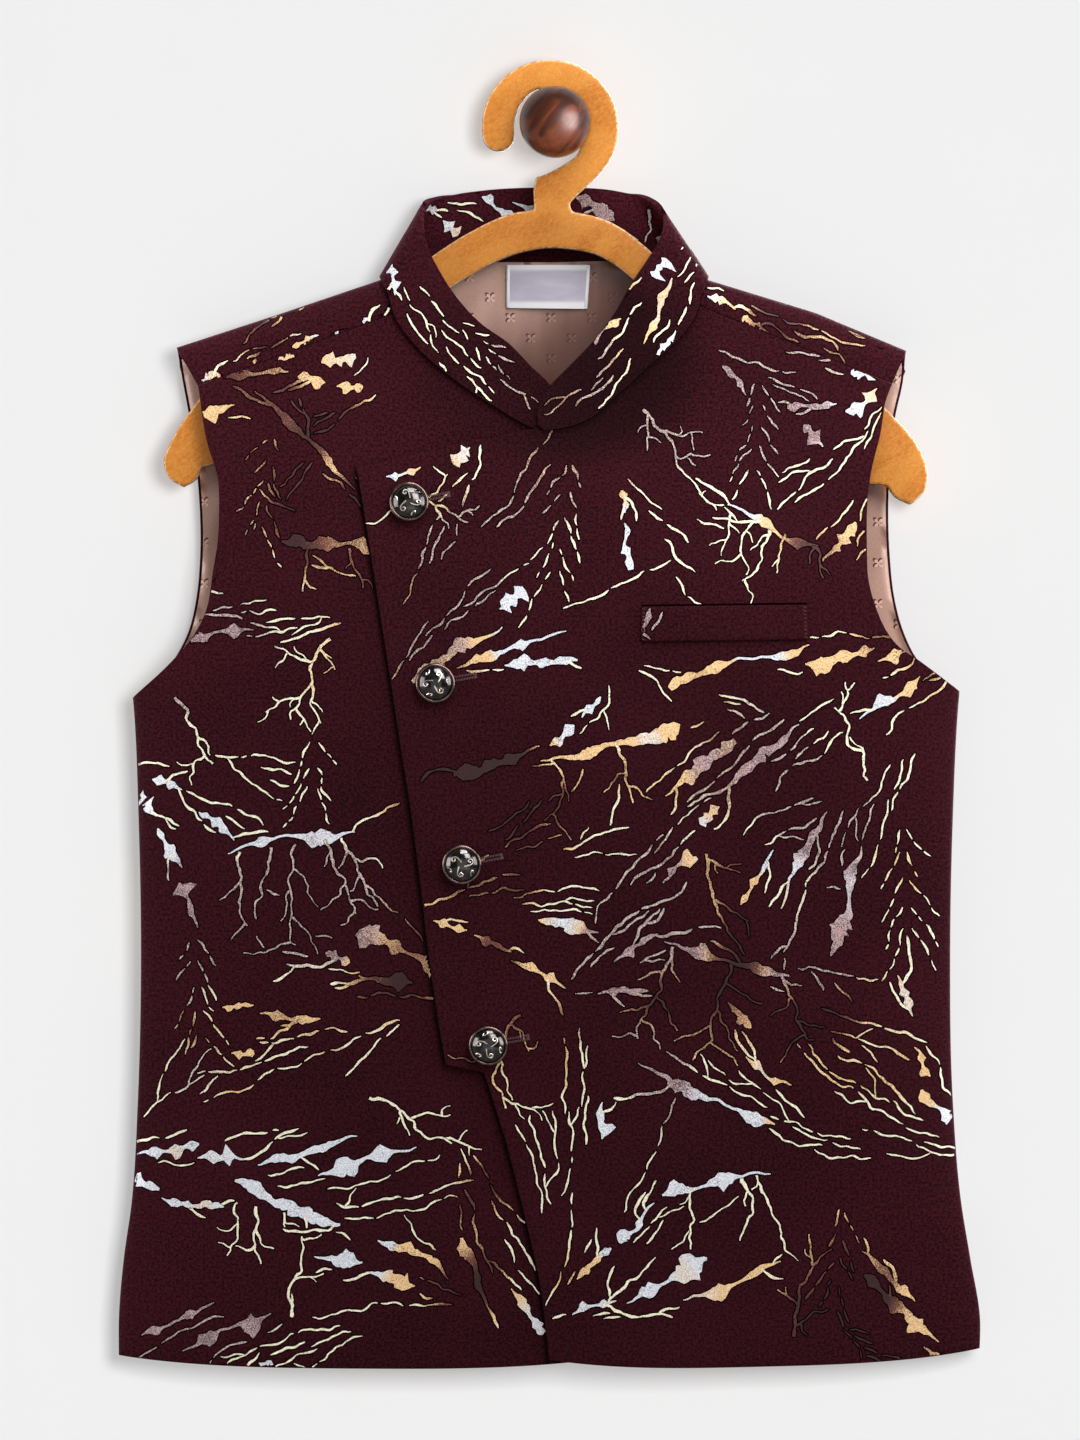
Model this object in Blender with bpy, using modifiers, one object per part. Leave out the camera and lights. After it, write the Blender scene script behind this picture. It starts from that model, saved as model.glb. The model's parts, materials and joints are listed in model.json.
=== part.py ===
"""A child's sleeveless nehru jacket with a lapped front, on a flat wooden hanger over a wall knob.

World metres, +Z up. The origin is on the knob's axis where it meets the wall, X runs to the viewer's right and
the jacket hangs in front of the wall, towards -Y. The tables and sizes are in millimetres. "Left" and "right" in
names are the wearer's: the right front is the under layer of the closure, and the viewer sees it at -X.
"""

import math
from typing import NamedTuple

import bmesh
import bpy
from mathutils import Vector

MM = 0.001

# Driving sizes, in millimetres.
SEAM_GAP = 0.3
COLLAR_GAP = 0.9
CLOTH = 2.0  # fused suiting with its turnings
LINING = 1.0
LINING_GAP = 0.5
LABEL = 0.8
WELT = 1.2
HANG_Y = -18.0  # the plane of the hanger's middle, which the side seams follow
FOLD_ROUND = 9.0  # how far below a fold the cloth reaches its full depth
FULLNESS = 2.6  # exponent of the body's cross section
LAP = CLOTH + 0.5  # how far the over layer stands in front of the under layer
HANGER_THICK = 8.0
STEM_RADIUS = 12.7
KNOB_RADIUS = 14.6
KNOB_FRONT = -46.0
BUTTON_RADIUS = 8.2


class Section(NamedTuple):
    """The cross section at one height: where its sides are, and its depth before and behind HANG_Y.

    Above the underarm the sides are where the full section would end, outside the armholes.
    """

    z: float
    left: float
    right: float
    front: float
    back: float


SECTIONS = (
    Section(z=-20.0, left=-234.0, right=226.0, front=8.0, back=8.5),
    Section(z=-64.0, left=-226.0, right=218.0, front=9.5, back=10.0),
    Section(z=-95.0, left=-209.0, right=201.0, front=11.0, back=11.0),
    Section(z=-130.0, left=-194.0, right=186.0, front=15.0, back=12.5),
    Section(z=-180.0, left=-181.0, right=173.0, front=20.0, back=14.0),
    Section(z=-236.0, left=-173.4, right=166.0, front=22.5, back=14.6),
    Section(z=-288.0, left=-171.0, right=163.4, front=22.5, back=14.8),
    Section(z=-340.0, left=-170.1, right=162.4, front=20.5, back=14.8),
    Section(z=-402.0, left=-171.4, right=163.5, front=17.5, back=14.6),
    Section(z=-444.0, left=-174.0, right=167.0, front=15.5, back=14.4),
    Section(z=-466.0, left=-177.1, right=170.6, front=14.8, back=14.2),
    Section(z=-492.0, left=-179.2, right=174.7, front=14.2, back=14.0),
    Section(z=-506.0, left=-179.2, right=174.4, front=14.0, back=14.0),
)
UNDERARM = -236.0
VENT_TOP = -448.0
SIDE_GAP = 0.5  # between the front's and the back's edge along a side seam
VENT_GAP = 1.5  # between them at the hem


class FoldPoint(NamedTuple):
    """The silhouette from shoulder tip to shoulder tip, where the front turns over to the back."""

    x: float
    z: float


FOLD = (
    FoldPoint(x=-155.4, z=-92.2),
    FoldPoint(x=-112.8, z=-78.3),
    FoldPoint(x=-70.5, z=-64.0),
    FoldPoint(x=-52.5, z=-33.2),
    FoldPoint(x=-30.0, z=-8.0),
    FoldPoint(x=0.0, z=0.0),
    FoldPoint(x=24.0, z=-12.0),
    FoldPoint(x=44.3, z=-38.1),
    FoldPoint(x=61.5, z=-64.0),
    FoldPoint(x=107.0, z=-77.9),
    FoldPoint(x=144.3, z=-93.5),
)



SIDE = None  # stands for the x of a row's end that lies on a side seam


class PanelRow(NamedTuple):
    """One row of a panel: its two end points. A corner keeps that end's edge sharp there."""

    start_x: float
    start_z: float
    end_x: float
    end_z: float
    corners: str = ""  # "s" for the start edge, "e" for the end edge
    sag: float = 0.0  # how far the row bows below the line between its ends


FRONT_RIGHT = (
    PanelRow(-66.4, -78.7, -146.4, -108.2, "se"),
    PanelRow(-57.8, -91.4, -142.7, -131.2),
    PanelRow(-41.4, -105.8, -138.2, -146.4),
    PanelRow(-25.0, -116.8, -137.7, -159.1),
    PanelRow(-13.9, -123.4, -138.2, -171.4),
    PanelRow(-4.1, -128.0, -140.2, -184.1),
    PanelRow(7.0, -132.0, -143.1, -200.5, "s"),
    PanelRow(13.0, -155.0, -148.8, -211.6),
    PanelRow(16.0, -185.0, -157.8, -221.8),
    PanelRow(17.5, -215.0, SIDE, -236.0, "e"),
    PanelRow(18.0, -250.0, SIDE, -252.0),
    PanelRow(18.0, -288.0, SIDE, -288.0),
    PanelRow(18.0, -340.0, SIDE, -340.0),
    PanelRow(18.0, -402.0, SIDE, -402.0),
    PanelRow(18.0, -444.0, SIDE, -444.0),
    PanelRow(18.0, -466.0, SIDE, -466.0, "", 1.5),
    PanelRow(18.5, -492.0, SIDE, -492.0, "", 3.5),
    PanelRow(19.0, -507.0, SIDE, -506.0, "se", 4.6),
)

FRONT_LEFT = (
    PanelRow(59.4, -75.4, 138.2, -107.4, "se"),
    PanelRow(57.4, -80.4, 135.3, -115.6),
    PanelRow(51.7, -88.1, 134.4, -121.5),
    PanelRow(38.5, -100.4, 133.3, -128.5),
    PanelRow(25.4, -112.3, 131.6, -135.0),
    PanelRow(13.5, -122.2, 130.0, -141.5),
    PanelRow(-0.8, -126.3, 128.9, -148.0),
    PanelRow(-7.4, -126.1, 128.2, -153.5),
    PanelRow(-13.9, -126.5, 127.9, -159.0),
    PanelRow(-20.5, -128.7, 127.8, -164.5),
    PanelRow(-34.0, -130.8, 127.8, -171.0),
    PanelRow(-63.5, -137.8, 127.9, -178.5),
    PanelRow(-81.2, -142.3, 128.3, -186.5, "s"),
    PanelRow(-78.0, -161.5, 131.6, -199.3),
    PanelRow(-75.0, -180.4, 136.1, -209.1),
    PanelRow(-72.4, -197.0, 139.8, -214.0),
    PanelRow(-70.1, -211.6, 149.6, -221.0),
    PanelRow(-66.9, -232.0, SIDE, -233.4, "e"),
    PanelRow(-64.0, -251.3, SIDE, -252.0),
    PanelRow(-58.6, -285.8, SIDE, -285.0),
    PanelRow(-55.3, -311.6, SIDE, -311.0),
    PanelRow(-51.2, -346.0, SIDE, -346.0),
    PanelRow(-46.7, -375.6, SIDE, -375.0),
    PanelRow(-44.7, -386.6, SIDE, -386.0, "s"),
    PanelRow(-29.1, -389.5, SIDE, -394.4, "s"),
    PanelRow(-20.5, -416.6, SIDE, -418.0),
    PanelRow(-12.3, -448.9, SIDE, -446.9),
    PanelRow(-6.1, -476.8, SIDE, -474.0, "", 2.0),
    PanelRow(-3.3, -499.4, SIDE, -492.4, "", 4.0),
    PanelRow(-2.5, -507.4, SIDE, -503.2, "se", 5.0),
)

BACK = (
    PanelRow(-155.4, -92.2, 144.3, -93.5, "se"),
    PanelRow(-153.3, -105.0, 143.1, -106.4),
    PanelRow(-150.9, -118.0, 140.2, -119.3),
    PanelRow(-146.8, -149.0, 137.3, -152.0),
    PanelRow(-146.0, -177.5, 137.8, -177.5),
    PanelRow(-147.6, -195.2, 139.8, -195.5),
    PanelRow(-150.9, -209.1, 143.1, -208.0),
    PanelRow(-157.8, -221.8, 149.6, -221.0),
    PanelRow(SIDE, -236.0, SIDE, -233.4, "se"),
    PanelRow(SIDE, -252.0, SIDE, -252.0),
    PanelRow(SIDE, -288.0, SIDE, -288.0),
    PanelRow(SIDE, -340.0, SIDE, -340.0),
    PanelRow(SIDE, -402.0, SIDE, -402.0),
    PanelRow(SIDE, -446.0, SIDE, -446.0),
    PanelRow(SIDE, -466.0, SIDE, -466.0, "", 1.5),
    PanelRow(SIDE, -492.0, SIDE, -492.0, "", 3.5),
    PanelRow(SIDE, -505.0, SIDE, -502.5, "se", 4.0),
)
BACK_UNDERARM_ROW = 8
SHOULDER_SEAMS = (  # the ends at the armhole and at the neck, where the back stops on the front
    (Vector((-146.4, -108.2)), Vector((-66.4, -78.7))),
    (Vector((138.2, -107.4)), Vector((59.4, -75.4))),
)


class CollarRow(NamedTuple):
    """One line across the collar, from its seam to its top edge; side is -1 in front, 1 behind, 0 on a fold."""

    seam_x: float
    seam_z: float
    top_x: float
    top_z: float
    side: int


COLLAR = (
    CollarRow(3.0, -130.4, 2.0, -114.0, -1),
    CollarRow(-4.1, -128.0, -2.6, -107.4, -1),
    CollarRow(-13.9, -123.4, -9.6, -100.6, -1),
    CollarRow(-25.0, -116.8, -18.4, -91.4, -1),
    CollarRow(-41.4, -105.8, -30.7, -82.4, -1),
    CollarRow(-57.8, -91.4, -39.8, -72.6, -1),
    CollarRow(-66.4, -78.7, -47.1, -61.5, -1),
    CollarRow(-68.7, -70.5, -52.5, -50.0, -1),
    CollarRow(-69.9, -66.4, -53.8, -40.0, -1),
    CollarRow(-70.5, -64.0, -52.5, -33.2, 0),
    CollarRow(-68.0, -61.9, -48.4, -31.2, 1),
    CollarRow(-59.4, -59.4, -41.4, -29.1, 1),
    CollarRow(-43.0, -57.4, -30.7, -27.5, 1),
    CollarRow(0.0, -56.6, 0.0, -26.2, 1),
    CollarRow(34.9, -56.6, 27.0, -27.9, 1),
    CollarRow(51.2, -59.0, 36.5, -30.6, 1),
    CollarRow(59.0, -61.9, 41.5, -34.2, 1),
    CollarRow(61.5, -64.0, 44.3, -38.1, 0),
    CollarRow(61.1, -67.0, 44.4, -42.8, -1),
    CollarRow(60.3, -71.0, 42.6, -48.6, -1),
    CollarRow(59.4, -75.4, 40.8, -52.0, -1),
    CollarRow(57.4, -80.4, 38.5, -55.5, -1),
    CollarRow(51.7, -88.1, 30.7, -67.2, -1),
    CollarRow(38.5, -100.4, 23.8, -79.5, -1),
    CollarRow(25.4, -112.3, 14.3, -91.8, -1),
    CollarRow(13.5, -122.2, 4.5, -101.7, -1),
    CollarRow(-0.8, -126.3, -3.2, -110.0, -1),
    CollarRow(-4.2, -126.4, -5.8, -114.4, -1),
    CollarRow(-6.8, -124.6, -7.4, -119.6, -1),
)
COLLAR_FOLDS = (9, 17)  # the rows on the shoulder folds, with the neck's back between them
COLLAR_OVER_FROM = 17  # the rows from here on belong to the end that laps over

WELT_CORNERS = ((35.4, -198.9), (103.1, -198.0), (103.6, -212.2), (35.2, -213.2))
LABEL_CORNERS = ((-19.7, -57.9), (14.3, -57.9), (13.1, -76.0), (-19.7, -75.6))
FIRST_BUTTON = (-59.7, -156.1)
BUTTON_STEP = (10.8, -74.1)


# ---- Curves and the form -------------------------------------------------------------------------------------


def smooth_step(share):
    share = min(max(share, 0.0), 1.0)
    return share * share * (3 - 2 * share)


def hermite(a, b, slope_a, slope_b, span, share):
    """The cubic from a to b over span, with these slopes at its ends."""
    s2, s3 = share * share, share * share * share
    return (
        a * (2 * s3 - 3 * s2 + 1)
        + slope_a * (span * (s3 - 2 * s2 + share))
        + b * (3 * s2 - 2 * s3)
        + slope_b * (span * (s3 - s2))
    )


def middle_slope(before, after, span_before, span_after):
    """The slope at a point between two spans, weighted towards the shorter one."""
    return (before * span_after + after * span_before) / (span_before + span_after)


def curve_point(points, corners, at):
    """The point at real index `at` on a smooth curve through points, which turns sharply at corners."""
    i = min(int(at), len(points) - 2)

    def chord(k):
        return points[k + 1] - points[k]

    def slope(k):
        here = chord(i) / chord(i).length
        if k in corners or k in (0, len(points) - 1):
            return here
        first, last = chord(k - 1), chord(k)
        return middle_slope(first / first.length, last / last.length, first.length, last.length)

    span = chord(i).length
    return hermite(points[i], points[i + 1], slope(i), slope(i + 1), span, at - i)


def section_value(z, column):
    """A column of SECTIONS at a height, smooth from row to row and level beyond the ends."""
    keys = [row.z for row in reversed(SECTIONS)]
    values = [getattr(row, column) for row in reversed(SECTIONS)]
    at = min(max(z, keys[0]), keys[-1])
    i = max(k for k in range(len(keys) - 1) if keys[k] <= at or k == 0)

    def chord(k):
        return (values[k + 1] - values[k]) / (keys[k + 1] - keys[k])

    def slope(k):
        if k in (0, len(keys) - 1):
            return chord(i)
        return middle_slope(chord(k - 1), chord(k), keys[k] - keys[k - 1], keys[k + 1] - keys[k])

    span = keys[i + 1] - keys[i]
    return hermite(values[i], values[i + 1], slope(i), slope(i + 1), span, (at - keys[i]) / span)


def line_height(points, x):
    """The height of a polyline of (x, z) points at x, level beyond its ends."""
    x = min(max(x, points[0][0]), points[-1][0])
    for (x_a, z_a), (x_b, z_b) in zip(points, points[1:]):
        if x <= x_b:
            return z_a + (z_b - z_a) * (x - x_a) / (x_b - x_a)
    return points[-1][1]


def depth(x, z, side):
    """How far the outer surface stands from HANG_Y at (x, z), in front for side -1 and behind for side 1."""
    left, right = section_value(z, "left"), section_value(z, "right")
    full = section_value(z, "front" if side < 0 else "back")
    across = min(abs(2 * x - left - right) / (right - left), 1.0)
    below = min(max(line_height(FOLD, x) - z, 0.0) / FOLD_ROUND, 1.0)
    turned = math.sqrt(1 - (1 - below) ** 2)
    return full * turned * (1 - across**FULLNESS) ** (1 / FULLNESS)


def lap_lift(x, z):
    """How far the over layer stands in front of the form: all of LAP over the under layer, none at the far side."""
    return LAP * (1 - smooth_step((x - 22.0) / 60.0)) * smooth_step((-76.0 - z) / 24.0)


def form_point(x, z, side, inset=0.0, lift=0.0):
    """The outer surface's point at (x, z), moved inwards by inset along the surface's normal, in millimetres."""
    point = Vector((x, HANG_Y + side * (depth(x, z, side) + lift), z))
    if inset == 0:
        return point
    step = 0.5
    slope_x = (depth(x + step, z, side) - depth(x - step, z, side)) / (2 * step)
    slope_z = (depth(x, z + step, side) - depth(x, z - step, side)) / (2 * step)
    normal = Vector((-slope_x, side, -slope_z)).normalized()
    return point - normal * inset


def back_top():
    """The back's upper edge: the left shoulder fold, the neck seam behind, and the right shoulder fold."""
    seams = [Vector((row.seam_x, row.seam_z)) for row in COLLAR]
    first, last = COLLAR_FOLDS
    neck = [curve_point(seams, (), first + k / 2) for k in range(2 * (last - first) + 1)]
    left = [Vector(point) for point in FOLD if point.x < neck[0].x]
    right = [Vector(point) for point in FOLD if point.x > neck[-1].x]
    return left, neck, right


# ---- Building ------------------------------------------------------------------------------------------------


def make_material(name, colour, roughness, metallic=0.0):
    material = bpy.data.materials.new(name)
    material.use_nodes = True
    shader = material.node_tree.nodes["Principled BSDF"]
    shader.inputs["Base Color"].default_value = (*colour, 1.0)
    shader.inputs["Roughness"].default_value = roughness
    shader.inputs["Metallic"].default_value = metallic
    return material


def add_object(name, mesh, material, smooth_angle=50):
    piece = bpy.data.objects.new(name, mesh)
    bpy.data.collections["nehru_jacket"].objects.link(piece)
    mesh.materials.append(material)
    mesh.shade_smooth()
    mesh.set_sharp_from_angle(angle=math.radians(smooth_angle))
    return piece


def add_sheet(name, material, rows, thickness, side, grow=-1, unwanted=None):
    """A wall whose outer surface is the grid of points in rows, in millimetres.

    side tells which way the first face looks, grow is -1 for a wall inside that surface and 1 for one outside it,
    and unwanted(row, column) drops faces.
    """
    across = len(rows[0]) - 1
    net = bmesh.new()
    bmesh.ops.create_grid(net, x_segments=across, y_segments=len(rows) - 1, size=0.5)
    net.verts.ensure_lookup_table()
    for k, point in enumerate(point for row in rows for point in row):
        net.verts[k].co = point * MM
    net.faces.ensure_lookup_table()
    net.normal_update()
    if net.faces[0].normal.y * side < 0:
        bmesh.ops.reverse_faces(net, faces=net.faces)
    if unwanted:
        dropped = [net.faces[k] for k in range(len(net.faces)) if unwanted(k // across, k % across)]
        bmesh.ops.delete(net, geom=dropped, context="FACES")
    mesh = bpy.data.meshes.new(name)
    net.to_mesh(mesh)
    net.free()
    piece = add_object(name, mesh, material)
    wall = piece.modifiers.new("wall", "SOLIDIFY")
    wall.thickness = thickness * MM
    wall.offset = grow
    return piece


def row_indices(rows, shoulder_step, body_step):
    """Real row indices: steps at most shoulder_step long above the underarm, and body_step below it."""
    found = [0.0]
    for i, (a, b) in enumerate(zip(rows, rows[1:])):
        start = 0.0 if SIDE in (a.start_x, b.start_x) else math.dist(a[:2], b[:2])
        end = 0.0 if SIDE in (a.end_x, b.end_x) else math.dist(a[2:4], b[2:4])
        drop = max(a.start_z - b.start_z, a.end_z - b.end_z)
        step = shoulder_step if b.end_z > UNDERARM else body_step
        parts = max(1, math.ceil(max(start, end, drop) / step))
        found += [i + (k + 1) / parts for k in range(parts)]
    return found


def ends_at(rows, at):
    """The two end points, and the sag, of a panel at real row index `at`."""
    i = min(int(at), len(rows) - 2)
    found = []
    for letter, x_at, z_at in (("s", 0, 1), ("e", 2, 3)):
        side = "left" if rows[1][x_at] < 0 else "right"
        on_side = [row[x_at] is SIDE for row in rows]
        points = [
            Vector((section_value(row[z_at], side) if on else row[x_at], row[z_at]))
            for row, on in zip(rows, on_side)
        ]
        corners = [k for k, row in enumerate(rows) if letter in row.corners]
        point = curve_point(points, corners, at)
        if on_side[i]:
            point.x = section_value(point.y, side)
        found.append(point)
    sag = rows[i].sag + (rows[i + 1].sag - rows[i].sag) * (at - i)
    return found[0], found[1], sag


def side_gap(z):
    """Half the gap between the front's and the back's edge along a side seam and its vent."""
    opened = smooth_step((VENT_TOP - z) / (VENT_TOP - SECTIONS[-1].z))
    return (SIDE_GAP + (VENT_GAP - SIDE_GAP) * opened) / 2


EDGE_STEPS = (0.1, 3.0, 9.0, 20.0)  # distances from a side seam at which a row has points


def shares_to_edge(length, count):
    """Shares of a row from 0 to 1, with EDGE_STEPS in from its far end."""
    steps = [step * min(1.0, length / 80.0) for step in EDGE_STEPS]
    inner = 1 - steps[-1] / length
    return [inner * k / count for k in range(count + 1)] + [1 - step / length for step in steps[-2::-1]] + [1.0]


def sagged(start, end, share, sag):
    point = start.lerp(end, share)
    return Vector((point.x, point.y - sag * (1 - abs(2 * share - 1) ** 3)))


def front_rows(table, columns, lift):
    """A front's outer points, from its shoulder seam to its hem and from its free edge to its side seam."""
    rows = []
    for at in row_indices(table, 12.5, 24.0):
        start, end, sag = ends_at(table, at)
        row = []
        for share in shares_to_edge((end - start).length, columns):
            x, z = sagged(start, end, share, sag)
            raised = lift(x, z)
            point = form_point(x, z, -1, lift=raised)
            point.y = min(point.y, HANG_Y - side_gap(z))
            row.append(point)
        rows.append(row)
    return rows


WRAP_STEPS = (0.06, 0.23, 0.55)  # shares of a shoulder's wrap at which the back has rows, close near the fold


def back_columns():
    """Shares across the back, close together at its side seams and with one at each point of the neck seam."""
    left, neck, right = back_top()
    tip, other_tip = left[0].x, right[-1].x
    middle = [(point.x - tip) / (other_tip - tip) for point in neck]
    left_shares = [middle[0] * k / 4 for k in range(1, 4)]
    right_shares = [middle[-1] + (1 - middle[-1]) * k / 4 for k in range(1, 4)]
    edges = [0.0, 0.0004, 0.01, 0.03]
    return sorted(edges + left_shares + middle + right_shares + [1 - edge for edge in edges])


def back_point(at, share):
    """The back's (x, z) at a row and a share across: rows bow up to the shoulders and the neck seam."""
    start, end, sag = ends_at(BACK, at)
    x, z = sagged(start, end, share, sag)
    left, neck, right = back_top()
    level = left[0].lerp(right[-1], share)
    rise = line_height(left + neck + right, level.x) - level.y
    bow = 1 - smooth_step((z - level.y) / (UNDERARM - level.y)) if at else 1.0
    return x, z + rise * bow


def wrap_point(share, wrap):
    """The back's outer point on the front side of a shoulder, `wrap` of the way from the fold to the seam."""
    fold = Vector(back_point(0, share))
    left, neck, right = back_top()
    tip, neck_side = (left[0], neck[0]) if fold.x < 0 else (right[-1], neck[-1])
    armhole_end, neck_end = SHOULDER_SEAMS[0 if fold.x < 0 else 1]
    seam = armhole_end.lerp(neck_end, (fold.x - tip.x) / (neck_side.x - tip.x))
    to_seam = seam - fold
    place = fold + to_seam * (wrap * (1 - SEAM_GAP / to_seam.length))
    return form_point(*place, -1)


def back_rows():
    """The back's outer points: over each shoulder from the front seam to the fold, then down to the hem."""
    shares = back_columns()
    rows = [[wrap_point(share, wrap) for share in shares] for wrap in (1.0, *WRAP_STEPS[::-1])]
    for at in [0.0, *WRAP_STEPS] + row_indices(BACK, 16.0, 24.0)[1:]:
        row = []
        for share in shares:
            point = form_point(*back_point(at, share), 1)
            if at >= BACK_UNDERARM_ROW:
                point.y = max(point.y, HANG_Y + side_gap(point.z))
            row.append(point)
        rows.append(row)
    return rows


def add_back(material):
    wrap_rows = 1 + len(WRAP_STEPS)
    across = [back_point(0, share)[0] for share in back_columns()]
    _, neck, _ = back_top()

    def over_neck(row, column):
        middle = (across[column] + across[column + 1]) / 2
        return row < wrap_rows and neck[0].x < middle < neck[-1].x

    rows = back_rows()
    return add_sheet("back", material, rows[::-1], CLOTH, 1, unwanted=lambda r, c: over_neck(len(rows) - 2 - r, c))


def add_back_lining(material):
    """The lining lies inside the back, a little in from its armholes, side seams and hem."""
    turned_in = 3.0
    rows = []
    columns = 12
    for at in [WRAP_STEPS[-1], *row_indices(BACK, 24.0, 30.0)[1:]]:
        start, end, _ = ends_at(BACK, at)
        margin = turned_in / (end - start).length * (1 if at < 7 else 1 + 2 * smooth_step((at - 7) / 2))
        row = []
        for k in range(columns + 1):
            share = margin + (1 - 2 * margin) * k / columns
            x, z = back_point(min(at, len(BACK) - 1.6), share)
            row.append(form_point(x, z, 1, inset=CLOTH + LINING_GAP))
        rows.append(row)
    return add_sheet("back_lining", material, rows, LINING, 1)


def add_collar(material):
    """A band along the neck seam, whose last rows lap over its first ones at the throat."""
    seams = [Vector(row[:2]) for row in COLLAR]
    tops = [Vector(row[2:4]) for row in COLLAR]
    rows = []
    steps = [0.5 * k for k in range(2 * len(COLLAR) - 1)]
    for at in steps:
        seam, top = curve_point(seams, (), at), curve_point(tops, (), at)
        side = COLLAR[math.ceil(at)].side or COLLAR[int(at)].side or -1
        row = []
        for share in (COLLAR_GAP / (top - seam).length, 0.25, 0.5, 0.75, 1.0):
            x, z = seam.lerp(top, share)
            lift = lap_lift(x, z) if at >= COLLAR_OVER_FROM else 0.0
            row.append(form_point(x, z, side, lift=lift))
        rows.append(row)
    return add_sheet("collar", material, rows, CLOTH, -1)


def patch_rows(corners, across, down, place):
    """A grid over four corners, listed clockwise from the upper left; place gives the point at (x, z)."""
    upper_left, upper_right, lower_right, lower_left = (Vector(corner) for corner in corners)
    rows = []
    for j in range(down + 1):
        left, right = upper_left.lerp(lower_left, j / down), upper_right.lerp(lower_right, j / down)
        rows.append([place(*left.lerp(right, k / across)) for k in range(across + 1)])
    return rows


def turned(name, profile, axis, segments, material):
    """A solid of revolution. profile has (radius, height) points from one end of the axis to the other."""
    mesh = bpy.data.meshes.new(name)
    net = bmesh.new()
    along = {"Y": lambda r, h: (r, h, 0.0), "Z": lambda r, h: (r, 0.0, h)}[axis]
    verts = [net.verts.new(Vector(along(r, h)) * MM) for r, h in profile]
    for a, b in zip(verts, verts[1:]):
        net.edges.new((a, b))
    net.to_mesh(mesh)
    net.free()
    piece = add_object(name, mesh, material)
    spin = piece.modifiers.new("turn", "SCREW")
    spin.axis = axis
    spin.steps = spin.render_steps = segments
    spin.use_merge_vertices = True
    spin.merge_threshold = 0.00001
    return piece


def add_knob(material):
    """The wall knob: a stem that the hook hangs on, and a domed head in front of it."""
    hook_front = HANG_Y - HANGER_THICK / 2
    neck = hook_front - 1.0
    dome = 11.0
    rim = KNOB_FRONT + dome
    head = [
        (KNOB_RADIUS * math.sin(math.radians(a)), rim - dome * math.cos(math.radians(a)))
        for a in range(0, 91, 15)
    ]
    profile = head + [(KNOB_RADIUS, neck - 2.0), (STEM_RADIUS, neck), (STEM_RADIUS, 0.0), (0.0, 0.0)]
    return turned("wall_knob", profile[::-1], "Y", 28, material)


def arc(centre, radius, start, end, steps):
    """Points on an arc, its angles in degrees from +X towards +Z."""
    angles = [start + (end - start) * k / steps for k in range(steps + 1)]
    return [
        (centre[0] + radius * math.cos(math.radians(a)), centre[1] + radius * math.sin(math.radians(a)))
        for a in angles
    ]


def hanger_outline():
    """The board's outline, clockwise from the hook's neck: hook, right arm, arch, left arm."""
    hole_foot = [(-8.3, -24.1), (-7.7, -22.5), (-5.3, -21.7), (-0.2, -19.4), (4.5, -16.6), (8.4, -13.9)]
    hole_right = arc((0.0, 0.0), 13.9, -36, 66, 8)
    seat = [(0.0, STEM_RADIUS + SEAM_GAP)]
    hole_left = [(-4.8, 13.9), (-8.2, 13.5), (-10.8, 11.7), (-13.7, 8.4), (-15.8, 3.9), (-16.7, -0.6)]
    tip = arc((-23.2, -5.0), 6.6, 10, -180, 8)
    outer = arc((-2.05, -2.05), 28.0, 172, -30, 20)
    right = [
        (18.6, -20.6), (14.3, -24.9), (8.6, -30.2), (5.9, -33.0), (7.0, -36.5), (15.5, -38.2), (23.4, -41.0),
        (38.5, -52.1), (50.0, -62.6), (61.5, -67.7), (84.0, -74.6), (107.0, -82.0), (121.0, -97.0),
        (136.1, -117.7), (147.2, -130.0), (152.9, -144.0), (151.6, -151.4), (146.0, -157.0), (139.0, -153.3),
        (136.1, -149.2), (129.6, -148.4),
    ]
    arch = [(31.6, -64.0), (24.6, -58.4), (16.8, -54.1), (6.8, -52.0), (-3.3, -51.5), (-14.4, -53.4),
            (-25.0, -57.4), (-42.2, -67.2)]
    left = [
        (-141.4, -140.6), (-145.1, -141.4), (-147.2, -146.4), (-152.5, -149.6), (-158.4, -146.0),
        (-160.7, -139.0), (-157.8, -131.0), (-146.4, -113.6), (-132.0, -92.4), (-120.0, -84.6), (-96.0, -76.4),
        (-70.5, -67.7), (-60.0, -62.0), (-49.6, -54.1), (-31.6, -43.0), (-18.4, -37.3), (-8.6, -35.7),
    ]
    return hole_foot + hole_right + seat + hole_left + tip + outer + right + arch + left


def add_hanger(material):
    """One flat board, its edges rounded over."""
    rounding = 1.2
    curve = bpy.data.curves.new("hanger_outline", "CURVE")
    curve.dimensions = "2D"
    curve.fill_mode = "BOTH"
    curve.extrude = (HANGER_THICK / 2 - rounding) * MM
    curve.bevel_depth = rounding * MM
    curve.bevel_resolution = 1
    curve.offset = -rounding * MM
    points = hanger_outline()
    spline = curve.splines.new("POLY")
    spline.points.add(len(points) - 1)
    for point, (x, z) in zip(spline.points, points):
        point.co = (x * MM, z * MM, 0.0, 1.0)
    spline.use_cyclic_u = True
    guide = bpy.data.objects.new("hanger_guide", curve)
    bpy.data.collections["nehru_jacket"].objects.link(guide)
    guide.location = (0.0, HANG_Y * MM, 0.0)
    guide.rotation_euler = (math.radians(90), 0.0, 0.0)
    bpy.context.view_layer.update()
    mesh = bpy.data.meshes.new_from_object(guide.evaluated_get(bpy.context.evaluated_depsgraph_get()))
    net = bmesh.new()
    net.from_mesh(mesh)
    bmesh.ops.remove_doubles(net, verts=net.verts, dist=0.00001)
    net.to_mesh(mesh)
    net.free()
    mesh.materials.clear()
    board = add_object("hanger", mesh, material)
    board.matrix_world = guide.matrix_world
    bpy.data.objects.remove(guide)
    return board


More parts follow.
